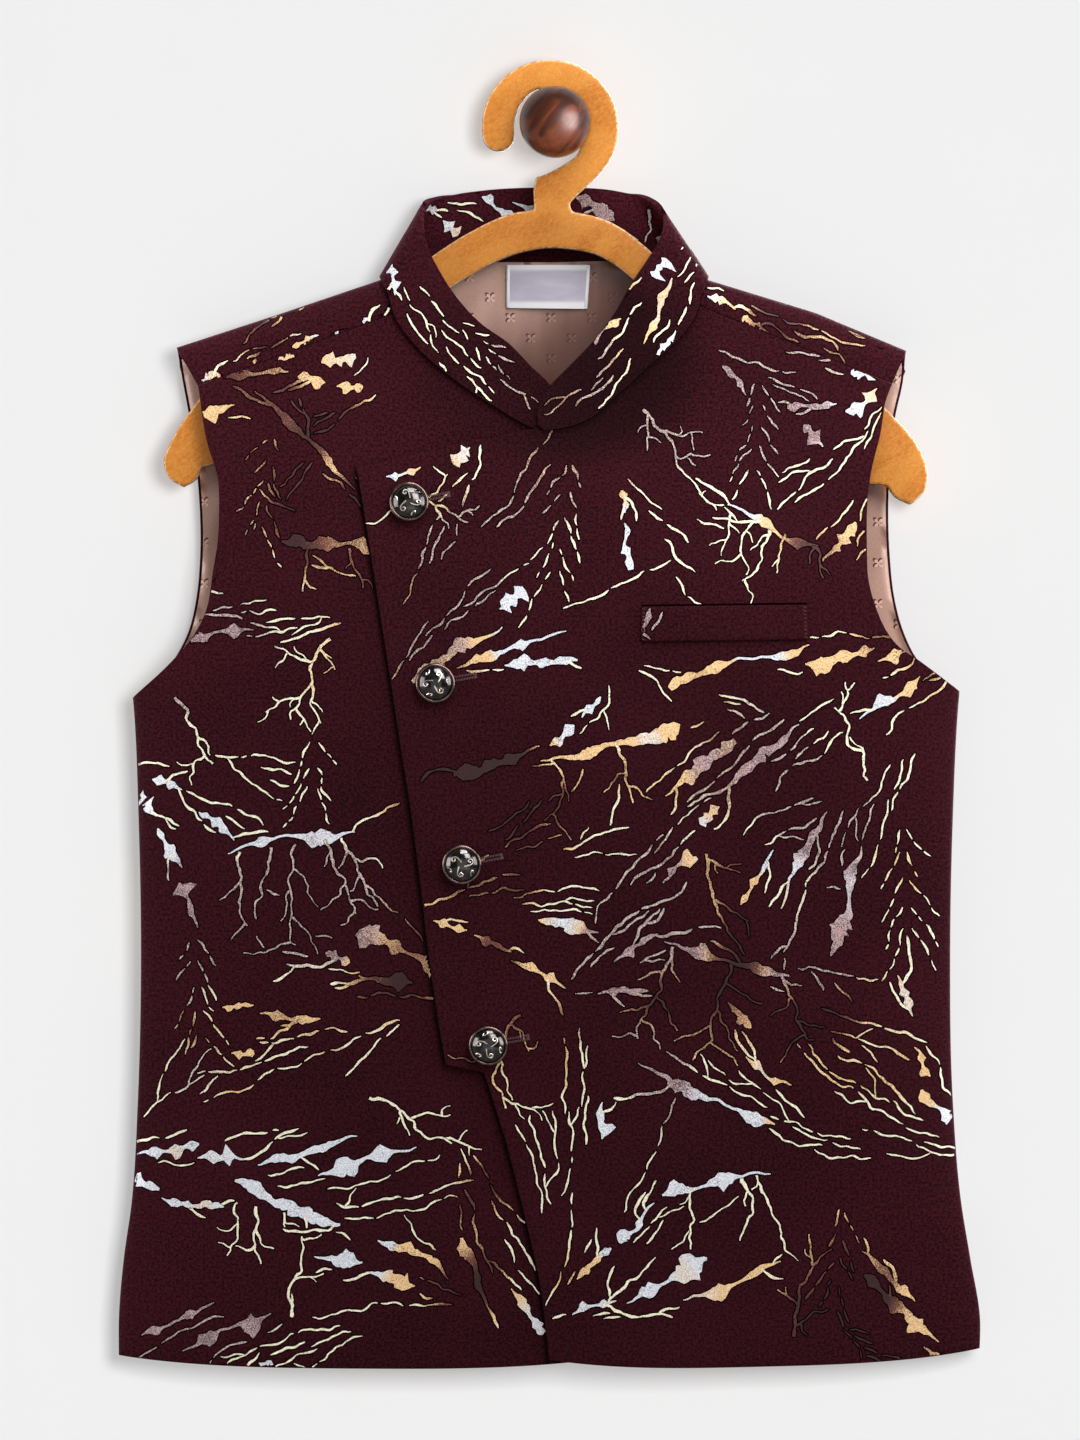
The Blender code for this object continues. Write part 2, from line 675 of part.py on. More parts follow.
def add_buttons(count, material):
    """Domed shank buttons down the flap, each one square to the cloth under it."""
    shank = 1.2
    dome = [(0.0, 6.2), (3.0, 5.9), (5.4, 4.9), (6.9, 3.6), (7.0, 3.0)]
    rim = [(7.6, 3.1), (BUTTON_RADIUS, 2.6), (BUTTON_RADIUS, 1.8), (7.4, shank)]
    profile = dome + rim + [(2.2, shank), (2.2, 0.0), (0.0, 0.0)]
    first = None
    for k in range(count):
        x = FIRST_BUTTON[0] + BUTTON_STEP[0] * k
        z = FIRST_BUTTON[1] + BUTTON_STEP[1] * k
        place = form_point(x, z, -1, inset=-SEAM_GAP, lift=lap_lift(x, z))
        outward = (form_point(x, z, -1, inset=-1.0) - form_point(x, z, -1)).normalized()
        if first is None:
            button = first = turned("button_1", profile, "Z", 16, material)
        else:
            button = first.copy()
            button.name = f"button_{k + 1}"
            bpy.data.collections["nehru_jacket"].objects.link(button)
        button.location = place * MM
        button.rotation_euler = outward.to_track_quat("Z", "Y").to_euler()


def main():
    for item in list(bpy.data.objects):
        bpy.data.objects.remove(item)
    collection = bpy.data.collections.new("nehru_jacket")
    bpy.context.scene.collection.children.link(collection)

    suiting = make_material("wine_suiting", (0.045, 0.012, 0.020), 0.75)
    satin = make_material("rose_brown_satin", (0.38, 0.22, 0.16), 0.35)
    white_satin = make_material("white_satin", (0.80, 0.79, 0.76), 0.45)
    dark_metal = make_material("dark_metal", (0.10, 0.08, 0.07), 0.25, 1.0)
    pale_wood = make_material("pale_wood", (0.70, 0.32, 0.07), 0.45)
    dark_wood = make_material("dark_wood", (0.11, 0.045, 0.025), 0.30)

    add_back(suiting)
    add_back_lining(satin)
    add_sheet("front_right", suiting, front_rows(FRONT_RIGHT, 7, lambda x, z: 0.0), CLOTH, -1)
    add_sheet("front_left", suiting, front_rows(FRONT_LEFT, 9, lap_lift), CLOTH, -1)
    add_collar(suiting)

    def on_front(x, z):
        return form_point(x, z, -1, inset=-SEAM_GAP, lift=lap_lift(x, z))

    def on_lining(x, z):
        return form_point(x, z, 1, inset=CLOTH + LINING_GAP + LINING + SEAM_GAP)

    add_sheet("welt_pocket", suiting, patch_rows(WELT_CORNERS, 8, 2, on_front), WELT, -1, grow=1)
    add_sheet("label", white_satin, patch_rows(LABEL_CORNERS, 6, 4, on_lining), LABEL, 1)
    add_buttons(4, dark_metal)
    add_hanger(pale_wood)
    add_knob(dark_wood)


main()
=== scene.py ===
"""The finish of a child's sleeveless nehru jacket on a flat wooden hanger and its wall knob.

Cloth, foil print, lining, label, buttons and buttonholes are made here on the packed solids. The tables and the cut
are in millimetres, X runs to the viewer's right and the jacket hangs in front of the wall, towards -Y. "Left" and
"right" in names are the wearer's.
"""

import json
import random
from collections import namedtuple
from functools import partialmethod
from math import ceil, copysign, cos, dist, exp, floor, hypot, pi, radians, sin, sqrt

import bpy
from bpy.props import FloatProperty, FloatVectorProperty, IntProperty, PointerProperty
from mathutils import Matrix, Vector, noise
from mathutils.bvhtree import BVHTree

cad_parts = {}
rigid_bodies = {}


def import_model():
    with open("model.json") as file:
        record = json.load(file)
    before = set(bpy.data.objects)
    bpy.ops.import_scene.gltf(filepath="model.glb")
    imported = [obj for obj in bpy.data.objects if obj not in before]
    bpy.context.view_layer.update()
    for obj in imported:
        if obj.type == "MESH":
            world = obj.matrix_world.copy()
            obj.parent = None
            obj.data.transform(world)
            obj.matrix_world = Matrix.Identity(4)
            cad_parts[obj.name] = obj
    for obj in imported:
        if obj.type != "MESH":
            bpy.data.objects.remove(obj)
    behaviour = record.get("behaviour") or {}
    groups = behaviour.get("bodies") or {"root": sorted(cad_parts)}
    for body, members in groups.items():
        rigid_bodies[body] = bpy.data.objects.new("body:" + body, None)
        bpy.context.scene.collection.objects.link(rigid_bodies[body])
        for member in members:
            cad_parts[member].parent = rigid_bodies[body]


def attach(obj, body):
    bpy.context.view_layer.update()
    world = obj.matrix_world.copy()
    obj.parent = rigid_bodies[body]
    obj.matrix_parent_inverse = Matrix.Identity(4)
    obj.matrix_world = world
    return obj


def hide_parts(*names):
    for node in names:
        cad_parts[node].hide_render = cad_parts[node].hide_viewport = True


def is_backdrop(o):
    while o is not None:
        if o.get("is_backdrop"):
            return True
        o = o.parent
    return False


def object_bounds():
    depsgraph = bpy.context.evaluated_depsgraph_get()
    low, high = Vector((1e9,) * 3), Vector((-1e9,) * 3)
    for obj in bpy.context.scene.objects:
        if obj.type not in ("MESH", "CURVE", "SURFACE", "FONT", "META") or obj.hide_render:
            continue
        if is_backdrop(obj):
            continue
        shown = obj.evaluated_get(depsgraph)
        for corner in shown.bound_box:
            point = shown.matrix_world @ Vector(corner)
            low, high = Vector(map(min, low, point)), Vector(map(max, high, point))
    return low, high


bl_info = {
    "name": "Sleeveless nehru jacket",
    "version": (1, 0, 0),
    "blender": (4, 5, 0),
    "location": "View3D > Sidebar > Jacket",
    "description": "Makes the cloth, print, lining, trims, hanger and stage of a hanging nehru jacket",
    "category": "Object",
}

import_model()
CAD_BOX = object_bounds()

MM = 0.001
BODY = "root"


# ---- Settings ----


def colour_setting(name, description, default):
    return FloatVectorProperty(
        name=name, description=description, default=default, subtype="COLOR", size=3, min=0.0, max=1.0
    )


def length_setting(name, description, default, low, high):
    return FloatProperty(
        name=name, description=description, default=default, min=low, max=high, unit="LENGTH", precision=5
    )


def power_setting(name, description, default):
    return FloatProperty(name=name, description=f"{description}, in watts", default=default, min=0.0, max=1000.0)


class ClothSettings(bpy.types.PropertyGroup):
    """The suiting and its lining."""

    suiting: colour_setting("Suiting", "Colour of the outer cloth", (0.0192, 0.0020, 0.0042))
    lining: colour_setting("Lining", "Colour of the satin lining", (0.43, 0.26, 0.205))
    lining_shade: colour_setting("Lining shade", "Colour of the lining deep in the neck", (0.068, 0.0175, 0.0112))
    motif: colour_setting("Lining motif", "Dark outline of the lining's woven flowers", (0.075, 0.028, 0.020))
    thread: length_setting("Thread", "Distance between the suiting's threads", 0.00042, 0.0002, 0.002)
    cell: length_setting("Mesh cell", "Size of the cloth's faces", 0.0035, 0.002, 0.02)
    turned_edge: length_setting("Turned edge", "Radius of the cloth's turned edges", 0.0007, 0.0001, 0.001)


class PrintSettings(bpy.types.PropertyGroup):
    """The foil print."""

    seed: IntProperty(name="Seed", description="Another number lays the foil out anew", default=11, min=0)
    film: length_setting("Film", "How far the foil stands out of the cloth", 0.00006, 0.00002, 0.0003)
    cream: colour_setting("Cream", "Pale foil of the thin strands", (0.80, 0.74, 0.55))
    silver: colour_setting("Silver", "Silver foil of the flakes", (0.62, 0.635, 0.68))
    gold: colour_setting("Gold", "Gold foil", (0.72, 0.47, 0.235))
    copper: colour_setting("Copper", "Copper foil", (0.27, 0.095, 0.058))
    mauve: colour_setting("Mauve", "Faded pink foil", (0.42, 0.28, 0.29))
    ghost: colour_setting("Ghost", "Foil that has all but gone", (0.036, 0.016, 0.011))


class TrimSettings(bpy.types.PropertyGroup):
    """Buttons, buttonholes and label."""

    metal: colour_setting("Button metal", "Dark metal of the buttons", (0.075, 0.068, 0.068))
    relief: colour_setting("Button relief", "Polished high parts of the buttons", (0.86, 0.74, 0.66))
    rim: colour_setting("Button rim", "Polished rim of the buttons", (0.17, 0.115, 0.10))
    thread: colour_setting("Buttonhole thread", "Colour of the buttonholes' thread", (0.060, 0.014, 0.019))
    label: colour_setting("Label", "Colour of the satin label", (0.330, 0.300, 0.368))
    buttonhole: length_setting("Buttonhole", "Length of a worked buttonhole", 0.0195, 0.01, 0.03)


class WoodSettings(bpy.types.PropertyGroup):
    """The hanger and the wall knob."""

    hanger: colour_setting("Hanger", "Main colour of the hanger's wood", (0.395, 0.116, 0.0125))
    # hanger_edge is also the colour of the painted highlight on the board's sides that face the lights
    hanger_edge: colour_setting("Hanger edge", "Bare wood along the hanger's rubbed edges", (0.78, 0.56, 0.33))
    hanger_pale: colour_setting("Hanger, pale", "Pale flecks of the hanger's wood", (0.54, 0.220, 0.038))
    knob: colour_setting("Knob", "Main colour of the knob's wood", (0.046, 0.0095, 0.004))
    knob_stripe: colour_setting("Knob stripe", "Stripes of the knob's wood", (0.21, 0.040, 0.0075))


class StageSettings(bpy.types.PropertyGroup):
    """The wall, the floor, the camera and the lights."""

    wall: colour_setting("Wall", "Colour of the wall and the floor", (0.46, 0.46, 0.46))
    glow: FloatProperty(
        name="Wall glow", description="Light that the wall gives of itself, which keeps its shadows light",
        default=0.400, min=0.0, max=1.0,
    )
    distance: length_setting("Camera distance", "From the camera to the garment", 6.0, 0.5, 10.0)
    wall_light: power_setting("Wall light", "Power of the light on the wall alone", 72.0)
    key: power_setting("Key light", "Power of the key light", 9.5)
    top: power_setting("Top light", "Power of the light from above", 8.5)
    sides: power_setting("Side lights", "Power of the lights beside", 11.0)
    fill: power_setting("Front light", "Power of the front light", 4.5)


# ---- The cut ----

SEAM_GAP = 0.3
COLLAR_GAP = 0.3
CLOTH = 2.0
LINING = 1.0
LINING_GAP = 0.5
WELT = 1.2
HANG_Y = -18.0
FOLD_ROUND = 9.0
FULLNESS = 2.6
LAP = CLOTH + 0.5
HANGER_THICK = 8.0
STEM_RADIUS = 12.7
KNOB_RADIUS = 14.6
KNOB_FRONT = -46.0
BUTTON_RADIUS = 8.2


Section = namedtuple("Section", "z left right front back")
Section.__doc__ = """The cross section at one height: where its sides are, and its depth before and behind HANG_Y."""
SECTIONS = [Section(*row) for row in (
    (-20, -234, 226, 8, 8.5),
    (-64, -226, 218, 9.5, 10),
    (-95, -209, 201, 11, 11),
    (-130, -194, 186, 15, 12.5),
    (-180, -181, 173, 20, 14),
    (-236, -173.4, 166, 22.5, 14.6),
    (-288, -171, 163.4, 22.5, 14.8),
    (-340, -170.1, 162.4, 20.5, 14.8),
    (-402, -171.4, 163.5, 17.5, 14.6),
    (-444, -174, 167, 15.5, 14.4),
    (-466, -177.1, 170.6, 14.8, 14.2),
    (-492, -179.2, 174.7, 14.2, 14),
    (-506, -179.2, 174.4, 14, 14),
)]
UNDERARM = -236
VENT_TOP = -448
SIDE_GAP = 0.5
VENT_GAP = 1.5


FoldPoint = namedtuple("FoldPoint", "x z")
FoldPoint.__doc__ = """The silhouette from shoulder tip to shoulder tip, where the front turns over to the back."""
FOLD = [FoldPoint(*row) for row in (
    (-155.4, -92.2),
    (-112.8, -78.3),
    (-70.5, -64),
    (-52.5, -33.2),
    (-30, -8),
    (0, 0),
    (24, -12),
    (44.3, -38.1),
    (61.5, -64),
    (107, -77.9),
    (144.3, -93.5),
)]
SIDE = None  # stands for the x of a row's end that lies on a side seam


PanelRow = namedtuple("PanelRow", "start_x start_z end_x end_z corners sag", defaults=("", 0.0))
PanelRow.__doc__ = """One row of a panel: its two end points, and how far it bows below the line between them.

Corners holds "s" and "e" where the start's or the end's edge turns sharply.
"""
FRONT_RIGHT = [PanelRow(*row) for row in (
    (-66.4, -78.7, -146.4, -108.2, "se"),
    (-57.8, -91.4, -142.7, -131.2),
    (-41.4, -105.8, -138.2, -146.4),
    (-25, -116.8, -137.7, -159.1),
    (-13.9, -123.4, -138.2, -171.4),
    (-4.1, -128, -140.2, -184.1),
    (7, -132, -143.1, -200.5, "s"),
    (13, -155, -148.8, -211.6),
    (16, -185, -157.8, -221.8),
    (17.5, -215, SIDE, -236, "e"),
    (18, -250, SIDE, -252),
    (18, -288, SIDE, -288),
    (18, -340, SIDE, -340),
    (18, -402, SIDE, -402),
    (18, -444, SIDE, -444),
    (18, -466, SIDE, -466, "", 1.5),
    (18.5, -492, SIDE, -492, "", 3.5),
    (19, -507, SIDE, -506, "se", 4.6),
)]

FRONT_LEFT = [PanelRow(*row) for row in (
    (59.4, -75.4, 138.2, -107.4, "se"),
    (57.4, -80.4, 135.3, -115.6),
    (51.7, -88.1, 134.4, -121.5),
    (38.5, -100.4, 133.3, -128.5),
    (25.4, -112.3, 131.6, -135),
    (13.5, -122.2, 130, -141.5),
    (-0.8, -126.3, 128.9, -148),
    (-7.4, -126.1, 128.2, -153.5),
    (-13.9, -126.5, 127.9, -159),
    (-20.5, -128.7, 127.8, -164.5),
    (-34, -130.8, 127.8, -171),
    (-63.5, -137.8, 127.9, -178.5),
    (-81.2, -142.3, 128.3, -186.5, "s"),
    (-78, -161.5, 131.6, -199.3),
    (-75, -180.4, 136.1, -209.1),
    (-72.4, -197, 139.8, -214),
    (-70.1, -211.6, 149.6, -221),
    (-66.9, -232, SIDE, -233.4, "e"),
    (-64, -251.3, SIDE, -252),
    (-58.6, -285.8, SIDE, -285),
    (-55.3, -311.6, SIDE, -311),
    (-51.2, -346, SIDE, -346),
    (-46.7, -375.6, SIDE, -375),
    (-44.7, -386.6, SIDE, -386, "s"),
    (-29.1, -389.5, SIDE, -394.4, "s"),
    (-20.5, -416.6, SIDE, -418),
    (-12.3, -448.9, SIDE, -446.9),
    (-6.1, -476.8, SIDE, -474, "", 2),
    (-3.3, -499.4, SIDE, -492.4, "", 4),
    (-2.5, -507.4, SIDE, -503.2, "se", 5),
)]

BACK = [PanelRow(*row) for row in (
    (-155.4, -92.2, 144.3, -93.5, "se"),
    (-153.3, -105, 143.1, -106.4),
    (-150.9, -118, 140.2, -119.3),
    (-146.8, -149, 137.3, -152),
    (-146, -177.5, 137.8, -177.5),
    (-147.6, -195.2, 139.8, -195.5),
    (-150.9, -209.1, 143.1, -208),
    (-157.8, -221.8, 149.6, -221),
    (SIDE, -236, SIDE, -233.4, "se"),
    (SIDE, -252, SIDE, -252),
    (SIDE, -288, SIDE, -288),
    (SIDE, -340, SIDE, -340),
    (SIDE, -402, SIDE, -402),
    (SIDE, -446, SIDE, -446),
    (SIDE, -466, SIDE, -466, "", 1.5),
    (SIDE, -492, SIDE, -492, "", 3.5),
    (SIDE, -505, SIDE, -502.5, "se", 4),
)]
BACK_UNDERARM_ROW = 8
LAP_EDGE = FRONT_LEFT[12:]  # the rows whose start lies on the free edge of the lap
SHOULDER_SEAMS = (
    (Vector((-146.4, -108.2)), Vector((-66.4, -78.7))),
    (Vector((138.2, -107.4)), Vector((59.4, -75.4))),
)


CollarRow = namedtuple("CollarRow", "seam_x seam_z top_x top_z side")
CollarRow.__doc__ = """One line across the collar, seam to top edge. Side is -1 in front, 1 behind, 0 on a fold."""
COLLAR = [CollarRow(*row) for row in (
    (3, -130.4, 2, -114, -1),
    (-4.1, -128, -2.6, -107.4, -1),
    (-13.9, -123.4, -9.6, -100.6, -1),
    (-25, -116.8, -18.4, -91.4, -1),
    (-41.4, -105.8, -30.7, -82.4, -1),
    (-57.8, -91.4, -39.8, -72.6, -1),
    (-66.4, -78.7, -47.1, -61.5, -1),
    (-68.7, -70.5, -52.5, -50, -1),
    (-69.9, -66.4, -53.8, -40, -1),
    (-70.5, -64, -52.5, -33.2, 0),
    (-68, -61.9, -48.4, -31.2, 1),
    (-59.4, -59.4, -41.4, -29.1, 1),
    (-43, -57.4, -30.7, -27.5, 1),
    (0, -56.6, 0, -26.2, 1),
    (34.9, -56.6, 27, -27.9, 1),
    (51.2, -59, 36.5, -30.6, 1),
    (59, -61.9, 41.5, -34.2, 1),
    (61.5, -64, 44.3, -38.1, 0),
    (61.1, -67, 44.4, -42.8, -1),
    (60.3, -71, 42.6, -48.6, -1),
    (59.4, -75.4, 40.8, -52, -1),
    (57.4, -80.4, 38.5, -55.5, -1),
    (51.7, -88.1, 30.7, -67.2, -1),
    (38.5, -100.4, 23.8, -79.5, -1),
    (25.4, -112.3, 14.3, -91.8, -1),
    (13.5, -122.2, 4.5, -101.7, -1),
    (-0.8, -126.3, -3.2, -110, -1),
    (-4.2, -126.4, -5.8, -114.4, -1),
    (-6.8, -124.6, -7.4, -119.6, -1),
)]
COLLAR_FOLDS = (9, 17)
COLLAR_EDGE = 0.00095  # radius of the collar's turned edges, in metres
MOUTH_SHADOW = 0.9  # how far the painted shadow of the pocket's opening reaches above its welt
COLLAR_OVER_FROM = 17

WELT_CORNERS = ((35.4, -198.9), (103.1, -198), (103.6, -212.2), (35.2, -213.2))
LABEL_CORNERS = ((-19.7, -57.9), (14.3, -57.9), (13.1, -76), (-19.7, -75.6))
FIRST_BUTTON = (-59.7, -156.1)
BUTTON_STEP = (10.8, -74.1)
BUTTON_COUNT = 4


def button_place(number):
    return [first + step * number for first, step in zip(FIRST_BUTTON, BUTTON_STEP)]


Crease = namedtuple("Crease", "x z turn length width height")
Crease.__doc__ = """A soft trough (height under 0) or ridge of the cloth, along a direction in degrees from +X."""
FRONT_CREASES = [Crease(*row) for row in (
    (-118, -150, 62, 70, 13, -0.5),
    (-95, -262, 12, 90, 16, 0.5),
    (-120, -395, -8, 80, 18, -0.5),
    (20, -165, -28, 80, 15, -0.5),
    (96, -150, 112, 75, 13, -0.6),
    (60, -268, -10, 120, 19, 0.6),
    (104, -352, 16, 90, 16, -0.6),
    (30, -428, -14, 100, 18, 0.5),
    (112, -470, 82, 60, 14, -0.5),
    (-60, -462, 84, 60, 15, -0.5),
)]
BACK_CREASES = [Crease(*row) for row in (
    (-96, -140, 68, 90, 14, -0.6),
    (92, -146, 110, 85, 15, -0.6),
    (-4, -112, 4, 90, 12, 0.5),
    (-60, -262, 10, 120, 20, 0.6),
    (74, -318, -12, 110, 18, -0.6),
    (-30, -392, -7, 130, 20, 0.5),
    (102, -446, 86, 80, 15, -0.5),
    (-88, -468, 95, 60, 14, -0.5),
)]


# ---- Curves and the form ----


def smooth_step(share):
    share = min(max(share, 0.0), 1.0)
    return share * share * (3 - 2 * share)


def hermite(a, b, slope_a, slope_b, span, share):
    """The cubic from a to b over span, with these slopes at its ends."""
    s2, s3 = share * share, share * share * share
    return (
        a * (2 * s3 - 3 * s2 + 1)
        + slope_a * (span * (s3 - 2 * s2 + share))
        + b * (3 * s2 - 2 * s3)
        + slope_b * (span * (s3 - s2))
    )


def middle_slope(before, after, span_before, span_after):
    """The slope at a point between two spans, weighted towards the shorter one."""
    return (before * span_after + after * span_before) / (span_before + span_after)


def curve_point(points, corners, at):
    """The point at real index `at` on a smooth curve through points, which turns sharply at corners."""
    i = min(int(at), len(points) - 2)

    def chord(k):
        return points[k + 1] - points[k]

    def slope(k):
        here = chord(i) / chord(i).length
        if k in corners or k in (0, len(points) - 1):
            return here
        first, last = chord(k - 1), chord(k)
        return middle_slope(first / first.length, last / last.length, first.length, last.length)

    span = chord(i).length
    return hermite(points[i], points[i + 1], slope(i), slope(i + 1), span, at - i)


def section_value(z, column):
    """A column of SECTIONS at a height, smooth from row to row and level beyond the ends."""
    keys = [row.z for row in reversed(SECTIONS)]
    values = [getattr(row, column) for row in reversed(SECTIONS)]
    at = min(max(z, keys[0]), keys[-1])
    i = max(k for k in range(len(keys) - 1) if keys[k] <= at or k == 0)

    def chord(k):
        return (values[k + 1] - values[k]) / (keys[k + 1] - keys[k])

    def slope(k):
        if k in (0, len(keys) - 1):
            return chord(i)
        return middle_slope(chord(k - 1), chord(k), keys[k] - keys[k - 1], keys[k + 1] - keys[k])

    span = keys[i + 1] - keys[i]
    return hermite(values[i], values[i + 1], slope(i), slope(i + 1), span, (at - keys[i]) / span)


def line_height(points, x):
    """The height of a polyline of (x, z) points at x, level beyond its ends."""
    x = min(max(x, points[0][0]), points[-1][0])
    for (x_a, z_a), (x_b, z_b) in zip(points, points[1:]):
        if x <= x_b:
            return z_a + (z_b - z_a) * (x - x_a) / (x_b - x_a)
    return points[-1][1]


def depth(x, z, side):
    """How far the outer surface stands from HANG_Y at (x, z), in front for side -1 and behind for side 1."""
    left, right = section_value(z, "left"), section_value(z, "right")
    full = section_value(z, "front" if side < 0 else "back")
    across = min(abs(2 * x - left - right) / (right - left), 1.0)
    below = min(max(line_height(FOLD, x) - z, 0.0) / FOLD_ROUND, 1.0)
    turned = sqrt(1 - (1 - below) ** 2)
    return full * turned * (1 - across**FULLNESS) ** (1 / FULLNESS)


def lap_lift(x, z):
    """How far the over layer stands in front of the form: all of LAP over the under layer, none at the far side."""
    return LAP * (1 - smooth_step((x - 22.0) / 60.0)) * smooth_step((-76.0 - z) / 24.0)


def crease_lift(x, z, side):
    """How far the creases move the cloth out at (x, z). They fade towards the shoulders and the sides."""
    lift = 0.0
    for crease in FRONT_CREASES if side < 0 else BACK_CREASES:
        turn = radians(crease.turn)
        along = (x - crease.x) * cos(turn) + (z - crease.z) * sin(turn)
        off = -(x - crease.x) * sin(turn) + (z - crease.z) * cos(turn)
        lift += crease.height * exp(-((2 * along / crease.length) ** 2) - (off / crease.width) ** 2)
    return lift * smooth_step((160.0 - abs(x + 2.0)) / 20.0)


def form_point(x, z, side, inset=0.0, lift=0.0):
    """The outer surface's point at (x, z), moved inwards by inset along the surface's normal, in millimetres."""
    point = Vector((x, HANG_Y + side * (depth(x, z, side) + lift), z))
    if inset == 0:
        return point
    step = 0.5
    slope_x = (depth(x + step, z, side) - depth(x - step, z, side)) / (2 * step)
    slope_z = (depth(x, z + step, side) - depth(x, z - step, side)) / (2 * step)
    normal = Vector((-slope_x, side, -slope_z)).normalized()
    return point - normal * inset


def on_left_front(x, z, inset=-SEAM_GAP):
    """The left front's outer surface, which lies SEAM_GAP under this point unless another inset is given."""
    return form_point(x, z, -1, inset=inset, lift=lap_lift(x, z) + crease_lift(x, z, -1))


NECK_PARTS = 6  # points along the neck seam for each row of the collar


def back_top():
    """The back's upper edge: the left shoulder fold, the neck seam behind, and the right shoulder fold."""
    seams = [Vector((row.seam_x, row.seam_z)) for row in COLLAR]
    first, last = COLLAR_FOLDS
    neck = [curve_point(seams, (), first + k / NECK_PARTS) for k in range(NECK_PARTS * (last - first) + 1)]
    left = [Vector(point) for point in FOLD if point.x < neck[0].x]
    right = [Vector(point) for point in FOLD if point.x > neck[-1].x]
    return left, neck, right


LEFT_FOLD, NECK, RIGHT_FOLD = back_top()


def row_indices(rows, step):
    """Real row indices at most step apart."""
    found = [0.0]
    for i, (a, b) in enumerate(zip(rows, rows[1:])):
        start = 0.0 if SIDE in (a.start_x, b.start_x) else dist(a[:2], b[:2])
        end = 0.0 if SIDE in (a.end_x, b.end_x) else dist(a[2:4], b[2:4])
        drop = max(a.start_z - b.start_z, a.end_z - b.end_z)
        parts = max(1, ceil(max(start, end, drop) / step))
        found += [i + (k + 1) / parts for k in range(parts)]
    return found


def ends_at(rows, at):
    """The two end points, and the sag, of a panel at real row index `at`."""
    i = min(int(at), len(rows) - 2)
    found = []
    for letter, x_at, z_at in (("s", 0, 1), ("e", 2, 3)):
        side = "left" if rows[1][x_at] < 0 else "right"
        on_side = [row[x_at] is SIDE for row in rows]
        points = [
            Vector((section_value(row[z_at], side) if on else row[x_at], row[z_at]))
            for row, on in zip(rows, on_side)
        ]
        corners = [k for k, row in enumerate(rows) if letter in row.corners]
        point = curve_point(points, corners, at)
        if on_side[i]:
            point.x = section_value(point.y, side)
        found.append(point)
    sag = rows[i].sag + (rows[i + 1].sag - rows[i].sag) * (at - i)
    return found[0], found[1], sag


def side_gap(z):
    """Half the gap between the front's and the back's edge along a side seam and its vent."""
    opened = smooth_step((VENT_TOP - z) / (VENT_TOP - SECTIONS[-1].z))
    return (SIDE_GAP + (VENT_GAP - SIDE_GAP) * opened) / 2


EDGE_STEPS = (0.4, 1.3, 2.8, 5.0, 8.0, 12.0)  # distances from a side seam at which a row has points


def shares_to_edge(length, count):
    """Shares of a row from 0 to 1, with EDGE_STEPS in from its far end."""
    steps = [step * min(1.0, length / 80.0) for step in EDGE_STEPS]
    inner = 1 - steps[-1] / length
    return [inner * k / count for k in range(count + 1)] + [1 - step / length for step in steps[-2::-1]] + [1.0]


def sagged(start, end, share, sag):
    point = start.lerp(end, share)
    return Vector((point.x, point.y - sag * (1 - abs(2 * share - 1) ** 3)))


def front_rows(table, step, lift):
    """A front's outer points, from its shoulder seam to its hem and from its free edge to its side seam."""
    columns = ceil(200.0 / step)
    rows = []
    for at in row_indices(table, step):
        start, end, sag = ends_at(table, at)
        row = []
        for share in shares_to_edge((end - start).length, columns):
            x, z = sagged(start, end, share, sag)
            point = form_point(x, z, -1, lift=lift(x, z) + crease_lift(x, z, -1))
            point.y = min(point.y, HANG_Y - side_gap(z))
            row.append(point)
        rows.append(row)
    return rows


WRAP_STEPS = (0.02, 0.07, 0.15, 0.26, 0.4, 0.58, 0.78)  # shares of a shoulder's wrap at which the back has rows
BACK_EDGES = (0.0, 0.0012, 0.004, 0.0085, 0.015, 0.024, 0.036)


def back_columns(step):
    """Shares across the back, close together at its side seams and with one at each point of the neck seam."""
    tip, other_tip = LEFT_FOLD[0].x, RIGHT_FOLD[-1].x
    middle = [(point.x - tip) / (other_tip - tip) for point in NECK]
    count = ceil((NECK[0].x - tip) / step)
    left = [BACK_EDGES[-1] + (middle[0] - BACK_EDGES[-1]) * k / count for k in range(1, count)]
    right = [middle[-1] + (1 - BACK_EDGES[-1] - middle[-1]) * k / count for k in range(1, count)]
    return sorted([*BACK_EDGES, *left, *middle, *right, *[1 - edge for edge in BACK_EDGES]])


def back_point(at, share):
    """The back's (x, z) at a row and a share across: rows bow up to the shoulders and the neck seam."""
    start, end, sag = ends_at(BACK, at)
    x, z = sagged(start, end, share, sag)
    level = LEFT_FOLD[0].lerp(RIGHT_FOLD[-1], share)
    rise = line_height(LEFT_FOLD + NECK + RIGHT_FOLD, level.x) - level.y
    bow = 1 - smooth_step((z - level.y) / (UNDERARM - level.y)) if at else 1.0
    return x, z + rise * bow


def wrap_point(share, wrap):
    """The back's outer point on the front side of a shoulder, `wrap` of the way from the fold to the seam."""
    fold = Vector(back_point(0, share))
    tip, neck_side = (LEFT_FOLD[0], NECK[0]) if fold.x < 0 else (RIGHT_FOLD[-1], NECK[-1])
    armhole_end, neck_end = SHOULDER_SEAMS[0 if fold.x < 0 else 1]
    seam = armhole_end.lerp(neck_end, (fold.x - tip.x) / (neck_side.x - tip.x))
    to_seam = seam - fold
    place = fold + to_seam * (wrap * (1 - SEAM_GAP / to_seam.length))
    return form_point(*place, -1)


